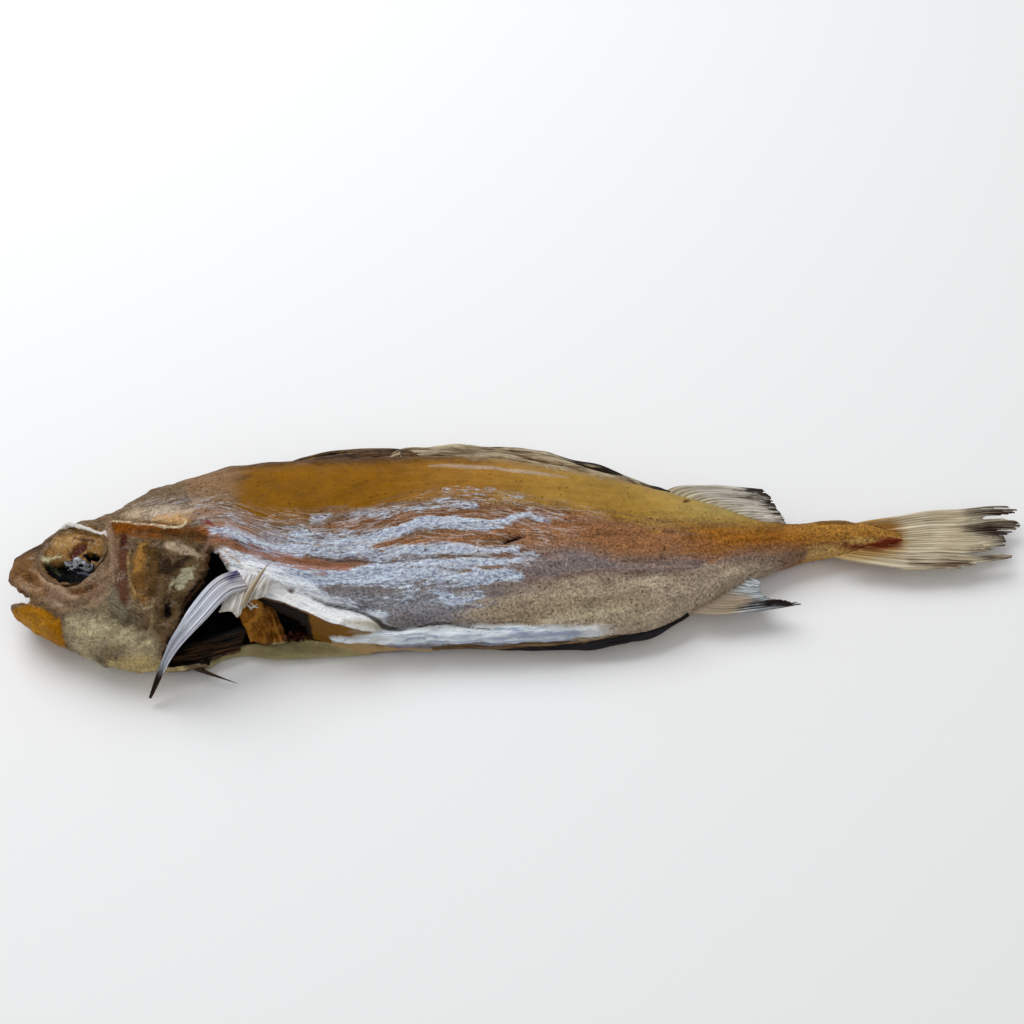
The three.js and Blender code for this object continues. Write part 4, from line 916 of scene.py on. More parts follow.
colour = tinted(tree, colour, cover, 0.94, silver_and_sheen_tone)
loose_hairs = times(tree, hairs, mask_of(tree, "loose hairs", 8, 5, streaks))
colour = tinted(tree, colour, loose_hairs, 0.6, (214, 204, 200))

# Thin lines, stains and spots that lie on the silver.
SEAM_LAYERS = (
    ("rust", (164, 104, 74), 8, 1.3, strands, 0.85),
    ("warm silk", (156, 118, 92), 8, 3, streaks, 0.55),
    ("wall stain", (150, 112, 88), 5, 0.7, strands, 0.8),
    ("wall grain", (178, 142, 108), 3, 0.4, strands, 0.8),
    ("dark lines", (70, 60, 60), 0.9, 0.4, strands, 0.8),
    ("slit", (44, 16, 10), 0.6, 0.4, strands),
    ("red thread", (130, 30, 18), 0.6, 0.4, strands, 0.9),
    ("purple root", (56, 48, 84), 2, 1.1, strands, 0.9),
    ("blood root", (62, 26, 24), 1.2, 0.8, strands, 0.9),
    ("tail spot", (112, 26, 8), 1.6, 1.1, blotch, 0.95),
    ("tail freckles", (84, 40, 18), 1.4, 0.7, blotch, 0.8),
    ("stalk streaks", (84, 52, 18), 4, 1, streaks, 0.7),
    ("fin pit", (84, 48, 20), 1.2, 0.6, blotch, 0.9),
    ("dark dot", (40, 22, 14), 0, 0.3, blotch, 0.95),
)
colour = layered(tree, colour, SEAM_LAYERS)
puckered = spread(tree, kept(tree, "puckers"), 1.4, 0.2)
colour = tinted(tree, colour, puckered, 0.3, (208, 200, 182))

# Dots of colour cells: sparse and clear on the amber, dense and small on flank and belly.
dots = dots_on(tree, place, 620, size=0.23, share=0.45)
dots = times(tree, dots, scaled(tree, head, -0.5, 0.68))
golden = mask_of(tree, "stalk gold", 4, 4, streaks)
dots = times(tree, dots, scaled(tree, golden, -0.7, 1))
dots = times(tree, dots, rest(tree, mask_of(tree, "wall", 1, 1, streaks)))
colour = blend(tree, dots, colour, (72, 44, 8))
small_dots = dots_on(tree, place, 1350, size=0.3, share=0.4)
small_dots = times(tree, small_dots, scaled(tree, smoothness, -0.42, 0.5))
small_dots = times(tree, small_dots, scaled(tree, cover, -0.5, 1))
colour = blend(tree, small_dots, colour, (58, 46, 44))

# The head's dried skin is wrinkled: painted highlights lie on the ridges and painted shade in the
# creases, and the bump raises the one and sinks the other.
ridges = wrinkles(tree, place, 260, 13)
lit = spread(tree, noise(tree, place, 200, 4, 0.7), 7, 0.58)
ridges = times(tree, ridges, times(tree, lit, 0.34))
creases = wrinkles(tree, place, 150, 26)
creases = times(tree, creases, spread(tree, noise(tree, place, 130, 4, 0.7), 6, 0.52))
wrinkled = times(tree, head, rest(tree, mask_of(tree, "jaw", 1, 1, blotch)))
ridge_highlight_strength = scaled(tree, mask_of(tree, "head band", 2, 1, blotch), -0.8, 1)
ridge_highlight = times(tree, ridges, wrinkled)
colour = tinted(tree, colour, ridge_highlight, ridge_highlight_strength, (206, 188, 168))
crease_shade = times(tree, creases, wrinkled)
colour = tinted(tree, colour, crease_shade, 0.32, (44, 30, 20))

# Inside walls, painted darker down to black as shade the further forward into the head they lie,
# with painted shade on the gill chamber's floor; then the lips of skin along the cuts.
lining_and_shade = blend(tree, spread(tree, kept(tree, "deep"), 0.12, 0), (96, 56, 20), (10, 6, 5))
lining_and_shade = over(tree, lining_and_shade, "gill floor shade", (34, 20, 12), 6, 2, blotch)
lining_and_shade = over(tree, lining_and_shade, "mouth", (112, 80, 44), 1, 1, blotch)
lining_and_shade = shaded(tree, lining_and_shade, spread(tree, blotch, 1.6))
inner = mask_of(tree, "inside", 0.6, 0.5, blotch)
colour = blend(tree, inner, colour, lining_and_shade)
INNER_LAYERS = (
    # Painted shadow along the gill cover's rear edge, where the gap under it is dark.
    ("cover gap shadow", (5, 3, 3), 2.4, 0.5, blotch),
    ("mouth roof", (146, 108, 74), 1, 0.5, blotch),
    ("olive lip", (166, 154, 112), 1, 0.6, blotch),
)
colour = layered(tree, colour, INNER_LAYERS)
stained = times(tree, mask_of(tree, "olive lip", 1, 0.6, blotch), spread(tree, blotch, 5))
colour = tinted(tree, colour, stained, 0.4, (128, 112, 72))
roll_tone = blend(tree, spread(tree, wall_weave, 6, 0.42), (206, 208, 216), (255, 255, 255))
colour = blend(tree, mask_of(tree, "roll", 1, 0.5, strands), colour, roll_tone)
# Painted shadow under the torn belly wall; behind OLIVE_START its rear part takes an olive tone instead.
colour = over(tree, colour, "under-wall shadow", (24, 14, 8), 0.8, 0.4, blotch)
rear_edge = mask_of(tree, "wall rear", 2, 0.8, blotch)
rear_edge = times(tree, mask_of(tree, "under-wall shadow", 0.8, 0.5, blotch), rear_edge)
colour = blend(tree, rear_edge, colour, (124, 84, 20))
# Painted shade on the rolled lobe's underside.
colour = over(tree, colour, "lobe underside shade", (176, 170, 150), 2, 1.6, blotch, 0.9)
colour = over(tree, colour, "strip", (242, 250, 255), 1.6, 1.2, strands)
drawn_out = noise(tree, place, 1, 5, 0.65, 0.5, (70, 1100, 700))
strip_lines = spread(tree, drawn_out, 9, 0.57)
strip_lines = times(tree, mask_of(tree, "strip", 1.6, 1.2, strands), strip_lines)
colour = tinted(tree, colour, strip_lines, 0.7, (130, 142, 172))

# The cut edges' own tones, painted shade in the crease behind the lobe and under the tan edge,
# and the pale edges of skin that stand out from them.
EDGE_LAYERS = (
    ("strip shade", (136, 150, 184), 8, 1.6, drawn_out, 0.6),
    ("wall rim", (120, 84, 60), 0.6, 0.3, strands, 0.7),
    ("cover rim", (70, 46, 26), 0.8, 0.3, blotch, 0.8),
    ("tan edge", (178, 148, 102), 2, 0.8, blotch),
    # Painted shade along the tan edge's underside.
    ("shade under tan edge", (66, 46, 26), 1.4, 0.5, blotch, 0.9),
    # Painted shade in the crease behind the rolled lobe.
    ("crease shade behind lobe", (40, 30, 22), 0.5, 0.4, blotch, 0.9),
    ("brow", (214, 210, 202), 0.5, 0.3, strands),
)
colour = layered(tree, colour, EDGE_LAYERS)

tree.links.new(scaled(tree, cover, 0.12, ridge_highlight), shader.inputs["Coat Weight"])
tree.links.new(spread(tree, blotch, 0.8, 0.5), shader.inputs["Roughness"])
relief = scaled(tree, grit, times(tree, roughened, 1.2), times(tree, blotch, 1.2))
relief = scaled(tree, cover, 0.35, relief)
relief = scaled(tree, strands, rest(tree, head), relief)
relief = scaled(tree, figure(tree, "SUBTRACT", ridges, creases), wrinkled, relief)
surfaced(tree, shader, colour, relief, strength=0.75, distance=0.4)


def place_piece(name, mesh, finish, slot, *stands_for):
    """Adds a finished piece of the fish to the scene."""
    mesh.materials.clear()
    mesh.materials.append(finish)
    mesh.shade_smooth()
    piece = into_scene(name, mesh)
    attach(piece, "root")
    if stands_for:
        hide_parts(*stands_for)


place_piece("skin_and_flesh", skin_mesh, skin_finish, "skin", "carcass")


# ---- Eyes ------------------------------------------------------------------------------------
# Each eyeball has dried in its socket to a wrinkled amber film over the brown lens. Below and
# behind the lens the film is torn open on the eye's black lining and its raised shreds, whose
# blue-white is a painted glint.

EYE_STEP = 0.3
FILM_SPREAD = 1.07  # the film runs in under the socket's rim
EYE_ZONES = {
    "lens": ((18, 0, 1.2), (19.5, 1.5, 1.8), (20.5, 2.5, 0.8)),
    "black lining": (
        (11, -1.5, 0.6), (13.5, -3.5, 2), (17, -5, 3.3), (20.5, -6, 3.5), (23, -7, 2), (24.5, -8, 0.8),
    ),
    "notch": ((21, -1.5, 0.4), (22.5, -1.5, 1), (24, -2.5, 1), (26, -3.5, 0.4)),
    "notch tip": ((24.5, -3.5, 0.5), (27, -3, 0.2)),
    # The shreds' blue-white and blue-grey is a painted glint.
    "glinting shreds": ((16, -2, 0.2), (17.5, -2.5, 0.4), (19, -2, 0.4), (21, -3, 0.4), (23, -4, 0.2)),
    "low glinting shreds": ((18, -3.5, 0.1), (20.5, -4, 0.3), (23, -5.5, 0.2)),
    "green shreds": ((11.5, -1, 0.2), (13, -2, 0.3), (14.5, -3.5, 0.2)),
    "grey skin": ((24, -5, 0.3), (24.5, -6.5, 0.6), (24, -8, 0.3)),
    "pale flap": ((8, 2.5, 0.3), (10.5, 0, 0.7), (11.5, -0.5, 0.3)),
    "pale fold": ((10.5, 1, 0.3), (12.5, 0, 0.5), (15, -0.5, 0.3)),
    "lid line": ((17.5, 5.5, 0.2), (20.5, 4, 0.4), (23, 3, 0.3)),
    "film light": ((11, 7, 1), (14, 5.5, 2.2), (17.5, 4.5, 1.6)),
    "film ochre": ((22.5, 1.5, 1.2), (25, -0.5, 1.6), (26, -5, 1)),
}

eye_finish, tree, shader = new_finish("dried eye", 0.4, Specular_IOR_Level=0.15, Coat_Roughness=0.15)
place = place_in(tree)
cloud = noise(tree, place, 420, 6, 0.7, 1.2)
crease_shade = wrinkles(tree, place, 210, 22)
highlight_lines = wrinkles(tree, place, 380, 14)
colour = blend(tree, spread(tree, cloud, 3), (122, 80, 18), (158, 112, 44))
colour = over(tree, colour, "film light", (184, 140, 78), 2, 2, cloud, 0.9)
colour = over(tree, colour, "film ochre", (134, 92, 10), 2, 2, cloud, 0.9)
# Painted shade in the film's creases, and painted highlights along its finer wrinkles, which also carry
# its coat of gloss.
colour = tinted(tree, colour, crease_shade, 0.6, (74, 48, 12))
colour = tinted(tree, colour, highlight_lines, 0.4, (206, 172, 116))
EYE_LAYERS = (
    ("lens", (84, 30, 10), 1.4, 0.9, cloud),
    ("lid line", (62, 26, 12), 0.6, 0.4, cloud, 0.9),
    ("pale fold", (196, 192, 150), 0.8, 0.5, cloud, 0.9),
    ("black lining", (5, 4, 4), 1.2, 0.35, cloud),
    ("notch", (4, 3, 3), 0.9, 0.25, cloud),
    ("notch tip", (20, 6, 3), 0.4, 0.25, cloud),
    ("pale flap", (206, 200, 164), 0.8, 0.4, cloud),
    ("grey skin", (132, 130, 124), 1, 0.5, cloud, 0.9),
)
colour = layered(tree, colour, EYE_LAYERS)
# Shreds of film: the green ones keep their own tone, while the blue-white and blue-grey of the others is
# a painted glint.
broken = spread(tree, noise(tree, place, 1, 3, 0.7, 1, (420, 1300, 600)), 12, 0.46)
SHREDS = {"green shreds": (104, 108, 80), "low glinting shreds": (112, 120, 140), "glinting shreds": (240, 247, 255)}
for name, tone in SHREDS.items():
    shred = times(tree, mask_of(tree, name, 1.8, 0.4, cloud), broken)
    colour = blend(tree, shred, colour, tone)
colour = over(tree, colour, "film edge", (104, 78, 50), 3, 1.6, cloud, 0.9)
film = rest(tree, mask_of(tree, "black lining", 1.2, 0.35, cloud))
tree.links.new(times(tree, times(tree, highlight_lines, 0.5), film), shader.inputs["Coat Weight"])
surfaced(tree, shader, colour, figure(tree, "ADD", cloud, highlight_lines), strength=0.7, distance=0.4)

for node, outwards in (("eye_left", 1), ("eye_right", -1)):
    eye_mesh = even_copy(node, EYE_STEP)
    eye = to_fish(eye_mesh)
    middle = (eye.max(axis=0) + eye.min(axis=0)) / 2
    reach = (eye.max(axis=0) - eye.min(axis=0)) / 2
    facing = ramp(normals_of(eye_mesh)[:, 2] * outwards, 0.05, 0.3)
    inward = 1 - np.hypot(*((eye - middle) / reach)[:, :2].T)
    eye[:, :2] = middle[:2] + (eye[:, :2] - middle[:2]) * FILM_SPREAD
    depths = zones(eye_mesh, eye, EYE_ZONES)
    torn = np.max([depths[name] for name in ("black lining", "notch", "notch tip")], axis=0)
    sunk = 0.3 + 1.1 * ramp(inward, 0, 0.3) + 0.9 * ramp(depths["lens"], -0.5, 0.4)
    sunk += 3 * ramp(torn + 0.3 * swell(eye, 1.6, 30), -0.1, 0.6)
    sunk -= 0.8 * ramp(depths["glinting shreds"], -0.3, 0.4)
    sunk -= 0.4 * ramp(np.maximum(depths["pale flap"], depths["pale fold"]), -0.4, 0.3)
    sunk += 0.3 * swell(eye, 3.4, 31) + 0.16 * swell(eye, 1.5, 32)
    skin_level = skin_heights(eye[:, 0], eye[:, 1])[0 if outwards > 0 else 1]
    eye[:, 2] += facing * (skin_level - outwards * np.maximum(sunk, 0.2) - eye[:, 2])
    eye = ironed(eye_mesh, eye, np.full(len(eye), 0.3), rounds=1)
    from_fish(eye_mesh, eye)
    zone(eye_mesh, "film edge", 1.6 - 10 * inward)
    place_piece(node + "_dried", eye_mesh, eye_finish, "eye", node)


# ---- Inside the belly and gills --------------------------------------------------------------
# What the gutting left behind: an amber membrane that rises from the belly's floor on both sides
# of a hollow, painted black as shade, and the brown strands of the throat's muscle under the open
# gills.


def smooth_path(*points):
    """A smooth path through points of any size, by the share of it that is run."""
    shares = np.linspace(0, 1, len(points))
    axes = [along(*zip(shares, axis)) for axis in zip(*points)]
    return lambda share: np.stack([axis(share) for axis in axes], axis=-1)


def new_grid(columns, rows):
    """A flat grid; its UV map says how far across and how far out a place is, 0 to 1."""
    bm = bmesh.new()
    bm.loops.layers.uv.new("UVMap")
    bmesh.ops.create_grid(bm, x_segments=columns, y_segments=rows, size=0.5, calc_uvs=True)
    return bm


def lay(bm, place):
    """Puts each point of a grid at place(across, out), which is in fish measures."""
    flat = np.array([v.co for v in bm.verts])
    across, out = flat[:, 0] + 0.5, flat[:, 1] + 0.5
    for vert, spot in zip(bm.verts, place(across, out)):
        vert.co = spot * MM + SNOUT
    return across, out


def laid_sheet(name, place, columns, rows, thick, rays=0, ray_height=0.0, gone=None):
    """A thin closed sheet, laid out by place(across, out) and thick in mm. Rays run outwards and
    fork halfway. Faces for which gone(across, out) is true are torn away."""
    bm = new_grid(columns, rows)
    if gone:
        centres = [face.calc_center_median() for face in bm.faces]
        torn = [f for f, c in zip(bm.faces, centres) if gone(c.x + 0.5, c.y + 0.5)]
        bmesh.ops.delete(bm, geom=torn, context="FACES")
    across, out = lay(bm, place)
    bm.normal_update()
    if rays:
        fork = ramp(out, 0.4, 0.6)
        drift = np.sin(2 * math.pi * (rays / 2.6 * across + 0.3 * out)) / 4  # in rays, so uneven
        turn = 2 * math.pi * rays * (across + drift / rays)
        wave = (1 - fork) * np.cos(turn) + fork * np.cos(2 * turn)
        for vert, up in zip(bm.verts, ray_height / 2 * MM * wave):
            vert.co += vert.normal * up
    made = bmesh.ops.extrude_face_region(bm, geom=bm.faces[:], use_keep_orig=True)["geom"]
    bm.normal_update()
    for vert in made:
        if isinstance(vert, bmesh.types.BMVert):
            vert.co += vert.normal * thick * MM
    bmesh.ops.recalc_face_normals(bm, faces=bm.faces[:])
    return mesh_from(bm, name)


membrane_finish, tree, shader = new_finish(
    "amber membrane", 0.4, Specular_IOR_Level=0.15, Subsurface_Weight=0.2, Subsurface_Scale=0.0015,
)
place = place_in(tree)
pleats = noise(tree, place, 1, 5, 0.62, 0.8, (520, 110, 110))
cloud = noise(tree, place, 170, 5, 0.6, 1)
crease_shade = wrinkles(tree, place, 170, 20)
colour = blend(tree, spread(tree, cloud, 3), (138, 84, 14), (182, 122, 38))
colour = over(tree, colour, "olive part", (122, 82, 14), 3, 2, cloud)
# Painted shade in the membrane's creases.
colour = tinted(tree, colour, crease_shade, 0.55, (84, 44, 8))
pleated = times(tree, mask_of(tree, "pleated", 1, 1, cloud), spread(tree, pleats, 7))
colour = tinted(tree, colour, pleated, 0.8, (92, 50, 10))
# The hollow is painted black as shade; the blood crumbs and the olive foot keep their own tones.
HOLLOW_LAYERS = (
    ("hollow shade", (5, 4, 3), 2.4, 0.8, cloud),
    ("blood crumbs", (74, 34, 20), 5, 0.6, cloud, 0.8),
    ("olive foot", (166, 154, 112), 1, 0.5, cloud),
)
colour = layered(tree, colour, HOLLOW_LAYERS)
surfaced(tree, shader, colour, figure(tree, "SUBTRACT", cloud, crease_shade), strength=0.7, distance=0.5)

FLOOR_HEIGHT = 3  # of the belly's floor above the table
MEMBRANE_FRONT = 60.4  # where the membrane's foot begins; its free edge leans forwards of this
MEMBRANE_LENGTH = 31.6
MEMBRANE_LEAN = 3.4
MEMBRANE_WIDTH = 13  # from the foot up to the free edge
FRONT_SLOPE = 1.15
REAR_SLOPE = 0.8
PLEAT_PITCH = 1.4
HOLLOW_LEAN = 0.42  # how far the hollow's front edge leans forwards for each mm towards the back
membrane_foot = along(
    (57, -17.6), (60.4, -18.7), (64, -19.6), (70, -19.8), (75.6, -19.6), (77.4, -21.4), (84, -22),
    (92, -22.4),
)


def hollow_edge(y):
    """Station at which the hollow, painted black as shade, begins behind the membrane's front part."""
    return 66.4 - HOLLOW_LEAN * (y + 12.2)


def membrane_place(across, out):
    """The membrane: a pleated front part and a smooth rear part on both sides of the hollow."""
    lean = MEMBRANE_LEAN * ramp(out, 0, 0.5)
    s = MEMBRANE_FRONT - lean + (MEMBRANE_LENGTH + lean) * across
    y = membrane_foot(s) + MEMBRANE_WIDTH * out
    flat = np.stack([s, y], axis=1)
    front = 1 - ramp(s - hollow_edge(y), 0, 0.8)
    rear = ramp(s, 76, 76.8)
    rise = (front * FRONT_SLOPE + rear * REAR_SLOPE) * (y - membrane_foot(s))
    facets = 0.7 * swell(flat, (5, 6), 41) + 0.3 * swell(flat, 2.4, 42)
    pleat = 0.5 * np.cos(2 * math.pi * (s + HOLLOW_LEAN * y) / PLEAT_PITCH) * ramp(s, 64, 65.4) * front
    height = FLOOR_HEIGHT + 0.2 + rise + (facets * np.maximum(front, rear) + pleat) * ramp(out, 0, 0.1)
    crumbs = 0.8 * swell(flat, 1.6, 43) * (1 - front) * (1 - rear)
    return np.stack([s, y + 0.3 * swell(flat, 3, 44), np.maximum(height + crumbs, FLOOR_HEIGHT)], axis=1)


membrane_mesh = laid_sheet("membrane", membrane_place, 130, 60, thick=0.3)
membrane = to_fish(membrane_mesh)
s, y, z = membrane.T
# The hollow, painted black as shade, lies behind its leaning front edge and ahead of the rear part.
zone(membrane_mesh, "hollow shade", np.minimum(s - hollow_edge(y) - 0.4, 76.6 - s))
zones(membrane_mesh, membrane, {"blood crumbs": ((69.8, -19, 0.8), (72.6, -18.4, 1.2), (76, -17.6, 1))})
zone(membrane_mesh, "pleated", np.minimum(s - 64.4, hollow_edge(y) + 0.4 - s))
zone(membrane_mesh, "olive part", s - OLIVE_START)
olive_foot = chain(membrane, (64, -22, 2), (72, -22, 2.2), (80, -22, 2.2), (86, -23, 1.4))
zone(membrane_mesh, "olive foot", olive_foot - 5 * ramp(z, 4, 6))
place_piece("belly_membrane", membrane_mesh, membrane_finish, "innards", "innards")

muscle_finish, tree, shader = new_finish("dried muscle", 0.5, Specular_IOR_Level=0.2)
across_out = place_in(tree, "UV")
strand = noise(tree, across_out, 1, 6, 0.7, 0.7, (26, 3, 1))
colour = blend(tree, spread(tree, strand, 6, 0.54), (10, 6, 5), (112, 74, 44))
# Painted shade: the muscle darkens to black towards its upper edge, deeper in the open gills.
upper_shade_share = put(tree, "SeparateXYZ", {"Vector": across_out}).outputs[0]
colour = blend(tree, spread(tree, upper_shade_share, 1.8, 0.5), colour, (5, 4, 4))
surfaced(tree, shader, colour, strand, strength=0.8, distance=0.5)

muscle_low = smooth_path((39.5, -25.4, 4.6), (48, -24, 4), (58, -21, 3.4))
muscle_high = smooth_path((38, -20, 4), (48, -17.6, 4), (61, -13.4, 3.6))


def muscle_place(across, out):
    """The throat's muscle, arched between its lower and upper edge."""
    share = across[:, None]
    spots = muscle_low(out) * (1 - share) + muscle_high(out) * share
    spots[:, 2] += 1.6 * np.sin(math.pi * across) + 0.3 * swell(spots, (14, 2.4, 9), 51)
    return spots


muscle_mesh = laid_sheet("muscle", muscle_place, 60, 30, thick=0.5, rays=7, ray_height=0.7)
place_piece("throat_muscle", muscle_mesh, muscle_finish, "innards")


# ---- Fins --------------------------------------------------------------------------------------
# Thin webs stretched over bony rays. The front and middle back fins and the front vent fin have
# dried folded flat along the body. The others stand open, split between the rays and brown-edged.


def across_and_out(tree, flat):
    """How far across a sheet and how far out along it a place is, 0 to 1."""
    parts = put(tree, "SeparateXYZ", {"Vector": flat})
    return parts.outputs[0], parts.outputs[1]


def fin_finish(name, rays, root, blade, web_tone, tip, tip_from, tip_soft=0.1, dark_side=0.0,
               veined=0.85, stains=()):
    """A spread fin's finish. Tones run from root to blade to tip; web_tone is the tone between the
    rays. dark_side moves the dark tips further down one side of the fin; stains are zones."""
    material, tree, shader = new_finish(name, 0.5, Specular_IOR_Level=0.2)
    flat = place_in(tree, "UV")
    across, out = across_and_out(tree, flat)
    hair = noise(tree, flat, 1, 5, 0.7, 0.25, (rays * 2.6, 2.4, 1))
    broad = noise(tree, flat, 1, 4, 0.6, 0.3, (rays * 0.5, 1.4, 1))
    bent = scaled(tree, broad, 0.8, times(tree, across, rays))
    wave = figure(tree, "COSINE", times(tree, bent, 2 * math.pi))
    web = scaled(tree, wave, -0.5, 0.5)
    web = times(tree, web, spread(tree, hair, 4, 0.42))
    colour = blend(tree, times(tree, out, 3.4, clamp=True), root, blade)
    colour = shaded(tree, colour, scaled(tree, broad, 1.2, 0.4))
    colour = tinted(tree, colour, web, veined, web_tone)
    colour = tinted(tree, colour, spread(tree, hair, 9, 0.6), 0.6, web_tone)
    reach = scaled(tree, centred(tree, across), dark_side, out)
    reach = scaled(tree, centred(tree, hair), 0.5, reach)
    dark = figure(tree, "DIVIDE", figure(tree, "SUBTRACT", reach, tip_from), tip_soft, clamp=True)
    colour = blend(tree, dark, colour, tip)
    colour = layered(tree, colour, [(*stain, hair) for stain in stains])
    surfaced(tree, shader, colour, figure(tree, "SUBTRACT", hair, web), strength=0.6, distance=0.3)
    return material


def band_finish(name, root, blade, streak, rim, rim_from, rim_slope):
    """A folded fin's finish: streaks run along it, and a dark rim widens towards its end."""
    material, tree, shader = new_finish(name, 0.4, Specular_IOR_Level=0.25)
    flat = place_in(tree, "UV")
    across, out = across_and_out(tree, flat)
    long_streaks = noise(tree, flat, 1, 5, 0.65, 0.3, (7, 7, 1))
    hair = noise(tree, flat, 1, 4, 0.65, 0.4, (22, 16, 1))
    colour = blend(tree, spread(tree, out, 2.4, 0.3), root, blade)
    colour = blend(tree, spread(tree, long_streaks, 6, 0.52), colour, streak)
    colour = shaded(tree, colour, scaled(tree, hair, 2, 0))
    reach = scaled(tree, across, rim_slope, out)
    reach = scaled(tree, centred(tree, long_streaks), 0.9, reach)
    dark = spread(tree, reach, 7, rim_from)
    colour = blend(tree, dark, colour, rim)
    surfaced(tree, shader, colour, figure(tree, "ADD", hair, long_streaks), strength=0.7, distance=0.4)
    return material


def torn_between(rays, deep, seed):
    """Splits in the web between rays: each opens from its own depth towards the fin's edge."""
    rng = np.random.default_rng(seed)
    starts = 1 - deep * rng.random(rays) ** 1.5

    def gone(across, out):
        i = min(int(across * rays), rays - 1)
        opening = (out - starts[i]) / (1 - starts[i] + 1e-6)
        return opening > 0 and abs(across * rays - i - 0.5) < 0.06 + 0.22 * opening

    return gone


# Tail fin, frayed into dark lobes at its end.
TAIL_RAYS = 22
tail_tips = along(
    (0, 243), (0.05, 246), (0.08, 254), (0.12, 257.2), (0.17, 256.6), (0.2, 250), (0.24, 247.5),
    (0.28, 253), (0.31, 256.4), (0.45, 257), (0.52, 257.4), (0.56, 259), (0.62, 260.6), (0.7, 262.6),
    (0.76, 260), (0.79, 254), (0.82, 252.5), (0.86, 257), (0.9, 261), (0.95, 263), (1, 260.5),
)


def tail_place(across, out):
    """The tail fin: its rays fan out from the stalk's slanted end, and its web waves a little."""
    root_s = 222 - 11 * np.abs(2 * across - 1) ** 2
    root_y = -6 + 9 * across
    tip_y = -11 + 19.2 * across
    spread_out = 1 - (1 - out) ** 2.4
    s = root_s + (tail_tips(across) - root_s) * out
    y = root_y + (tip_y - root_y) * spread_out + 0.3 * np.sin(s * 0.35) * out
    height = 6.6 - 1.6 * out + 0.4 * np.sin(across * 7) * out
    height += 0.5 * np.sin(across * 17 + 1) * ramp(out, 0.6, 1)
    return np.stack([s, y, height], axis=1)


TAIL_STAINS = (
    ("flesh", (170, 122, 54), 18, 3.4),
    ("flesh low", (186, 146, 84), 16, 3),
    ("spot", (120, 44, 16), 3, 1.6),
    ("tips", (64, 42, 36), 14, 4),
    ("lower lobe", (104, 78, 56), 10, 2.4),
)
tail_finish = fin_finish("tail fin", TAIL_RAYS, (206, 176, 116), (226, 214, 186), (160, 138, 104),
                         (72, 50, 44), tip_from=0.88, tip_soft=0.24, veined=0.5, stains=TAIL_STAINS)
tail_splits = torn_between(TAIL_RAYS, deep=0.2, seed=61)
tail_mesh = laid_sheet("tail", tail_place, 240, 46, thick=0.35, rays=TAIL_RAYS, ray_height=0.35,
                       gone=tail_splits)
tail = to_fish(tail_mesh)
zones(tail_mesh, tail, {
    "flesh": ((208, 2.6, 3), (222, 2.8, 4), (226, 2, 4.6)),
    "flesh low": ((208, -3, 3), (220, -3.4, 3.4), (227, -3, 3)),
    "spot": ((219, -4, 0.2), (224, -3.6, 1), (228.5, -3, 0.9)),
    "lower lobe": ((231, -8.6, 0.4), (237, -9.8, 1), (242, -10, 1.2), (246, -9.6, 0.4)),
})
zone(tail_mesh, "tips", np.max([
    chain(tail, (250, 7, 0.8), (256, 7, 1.8), (262, 6, 3)),
    chain(tail, (249, 1.6, 1), (254, 1, 3), (258, -1, 4)),
    chain(tail, (248, -7, 0.6), (252, -8.4, 1.6)),
], axis=0))
place_piece("tail_fin", tail_mesh, tail_finish, "fin", "caudal_fin")


def folded_fin(name, node, finish, edge, ridge, lift, columns, rows, *widths):
    """Adds a fin that is folded flat along the back or belly. Its widths are (station, mm) pairs
    that say how far it stands out, and lift says how much higher its free edge lies."""
    width = along(*widths)
    start, end = widths[0][0], widths[-1][0]

    def place(across, out):
        s = start + (end - start) * across
        ripple = swell(np.stack([s, 26 * out], axis=1), (16, 9), 71)
        stand = width(s) * out
        y = edge(s) - np.sign(width(s)) * 0.9 * (1 - out) + stand + 0.15 * ripple * out
        thin = np.minimum(np.abs(width(s)) / 2, 1)
        height = ridge(s) + lift * out * thin + 0.35 * ripple * thin
        return np.stack([s, y, height], axis=1)

    mesh = laid_sheet(name, place, columns, rows, thick=0.5)
    place_piece(name, mesh, finish, "dark_fin", node)


front_finish = band_finish("front back fin", (84, 58, 34), (122, 92, 60), (58, 40, 24), (54, 38, 26),
                           rim_from=1, rim_slope=0)
folded_fin(
    "front_back_fin", "dorsal_fin_1", front_finish, back_edge, back_ridge, 2, 110, 16,
    (68, 0.1), (73, 1.6), (80, 3.2), (88, 3.8), (96, 3.6), (103, 2.2), (107, 0.6),
)
middle_finish = band_finish("middle back fin", (150, 128, 94), (192, 176, 146), (112, 86, 58),
                            (36, 26, 22), rim_from=1.25, rim_slope=0.6)
folded_fin(
    "middle_back_fin", "dorsal_fin_2", middle_finish, back_edge, back_ridge, 2, 180, 16,
    (96, 0.4), (101, 3), (107, 3.6), (119, 3.8), (132, 4.2), (143, 4), (153, 2.8), (163, 1.3), (171, 0.4),
)
vent_finish = band_finish("front vent fin", (168, 140, 98), (150, 120, 82), (84, 62, 44), (22, 18, 22),
                          rim_from=1.3, rim_slope=1.6)
folded_fin(
    "front_vent_fin", "anal_fin_1", vent_finish, belly_edge, belly_ridge, -1.6, 150, 14,
    (106, -0.2), (120, -0.8), (132, -1.4), (145, -1.9), (155, -1.6), (164, -1), (171, -0.3),
)


def swept_place(start, end, edge, ridge, tip_s, tip_y, bow):
    """Puts a spread fin whose rays sweep back from the body's edge; the first ray bows outwards."""

    def place(across, out):
        root_s = start + (end - start) * across
        root_y = edge(root_s) * 0.9
        s = root_s + (tip_s(across) - root_s) * out
        y = root_y + (tip_y(across) - root_y) * out + bow * (1 - across) * np.sin(math.pi * np.sqrt(out))
        height = ridge(root_s) + 0.4 * np.sin(across * 9) * out + 0.2 * np.sin(across * 31) * out
        return np.stack([s, y, height], axis=1)

    return place


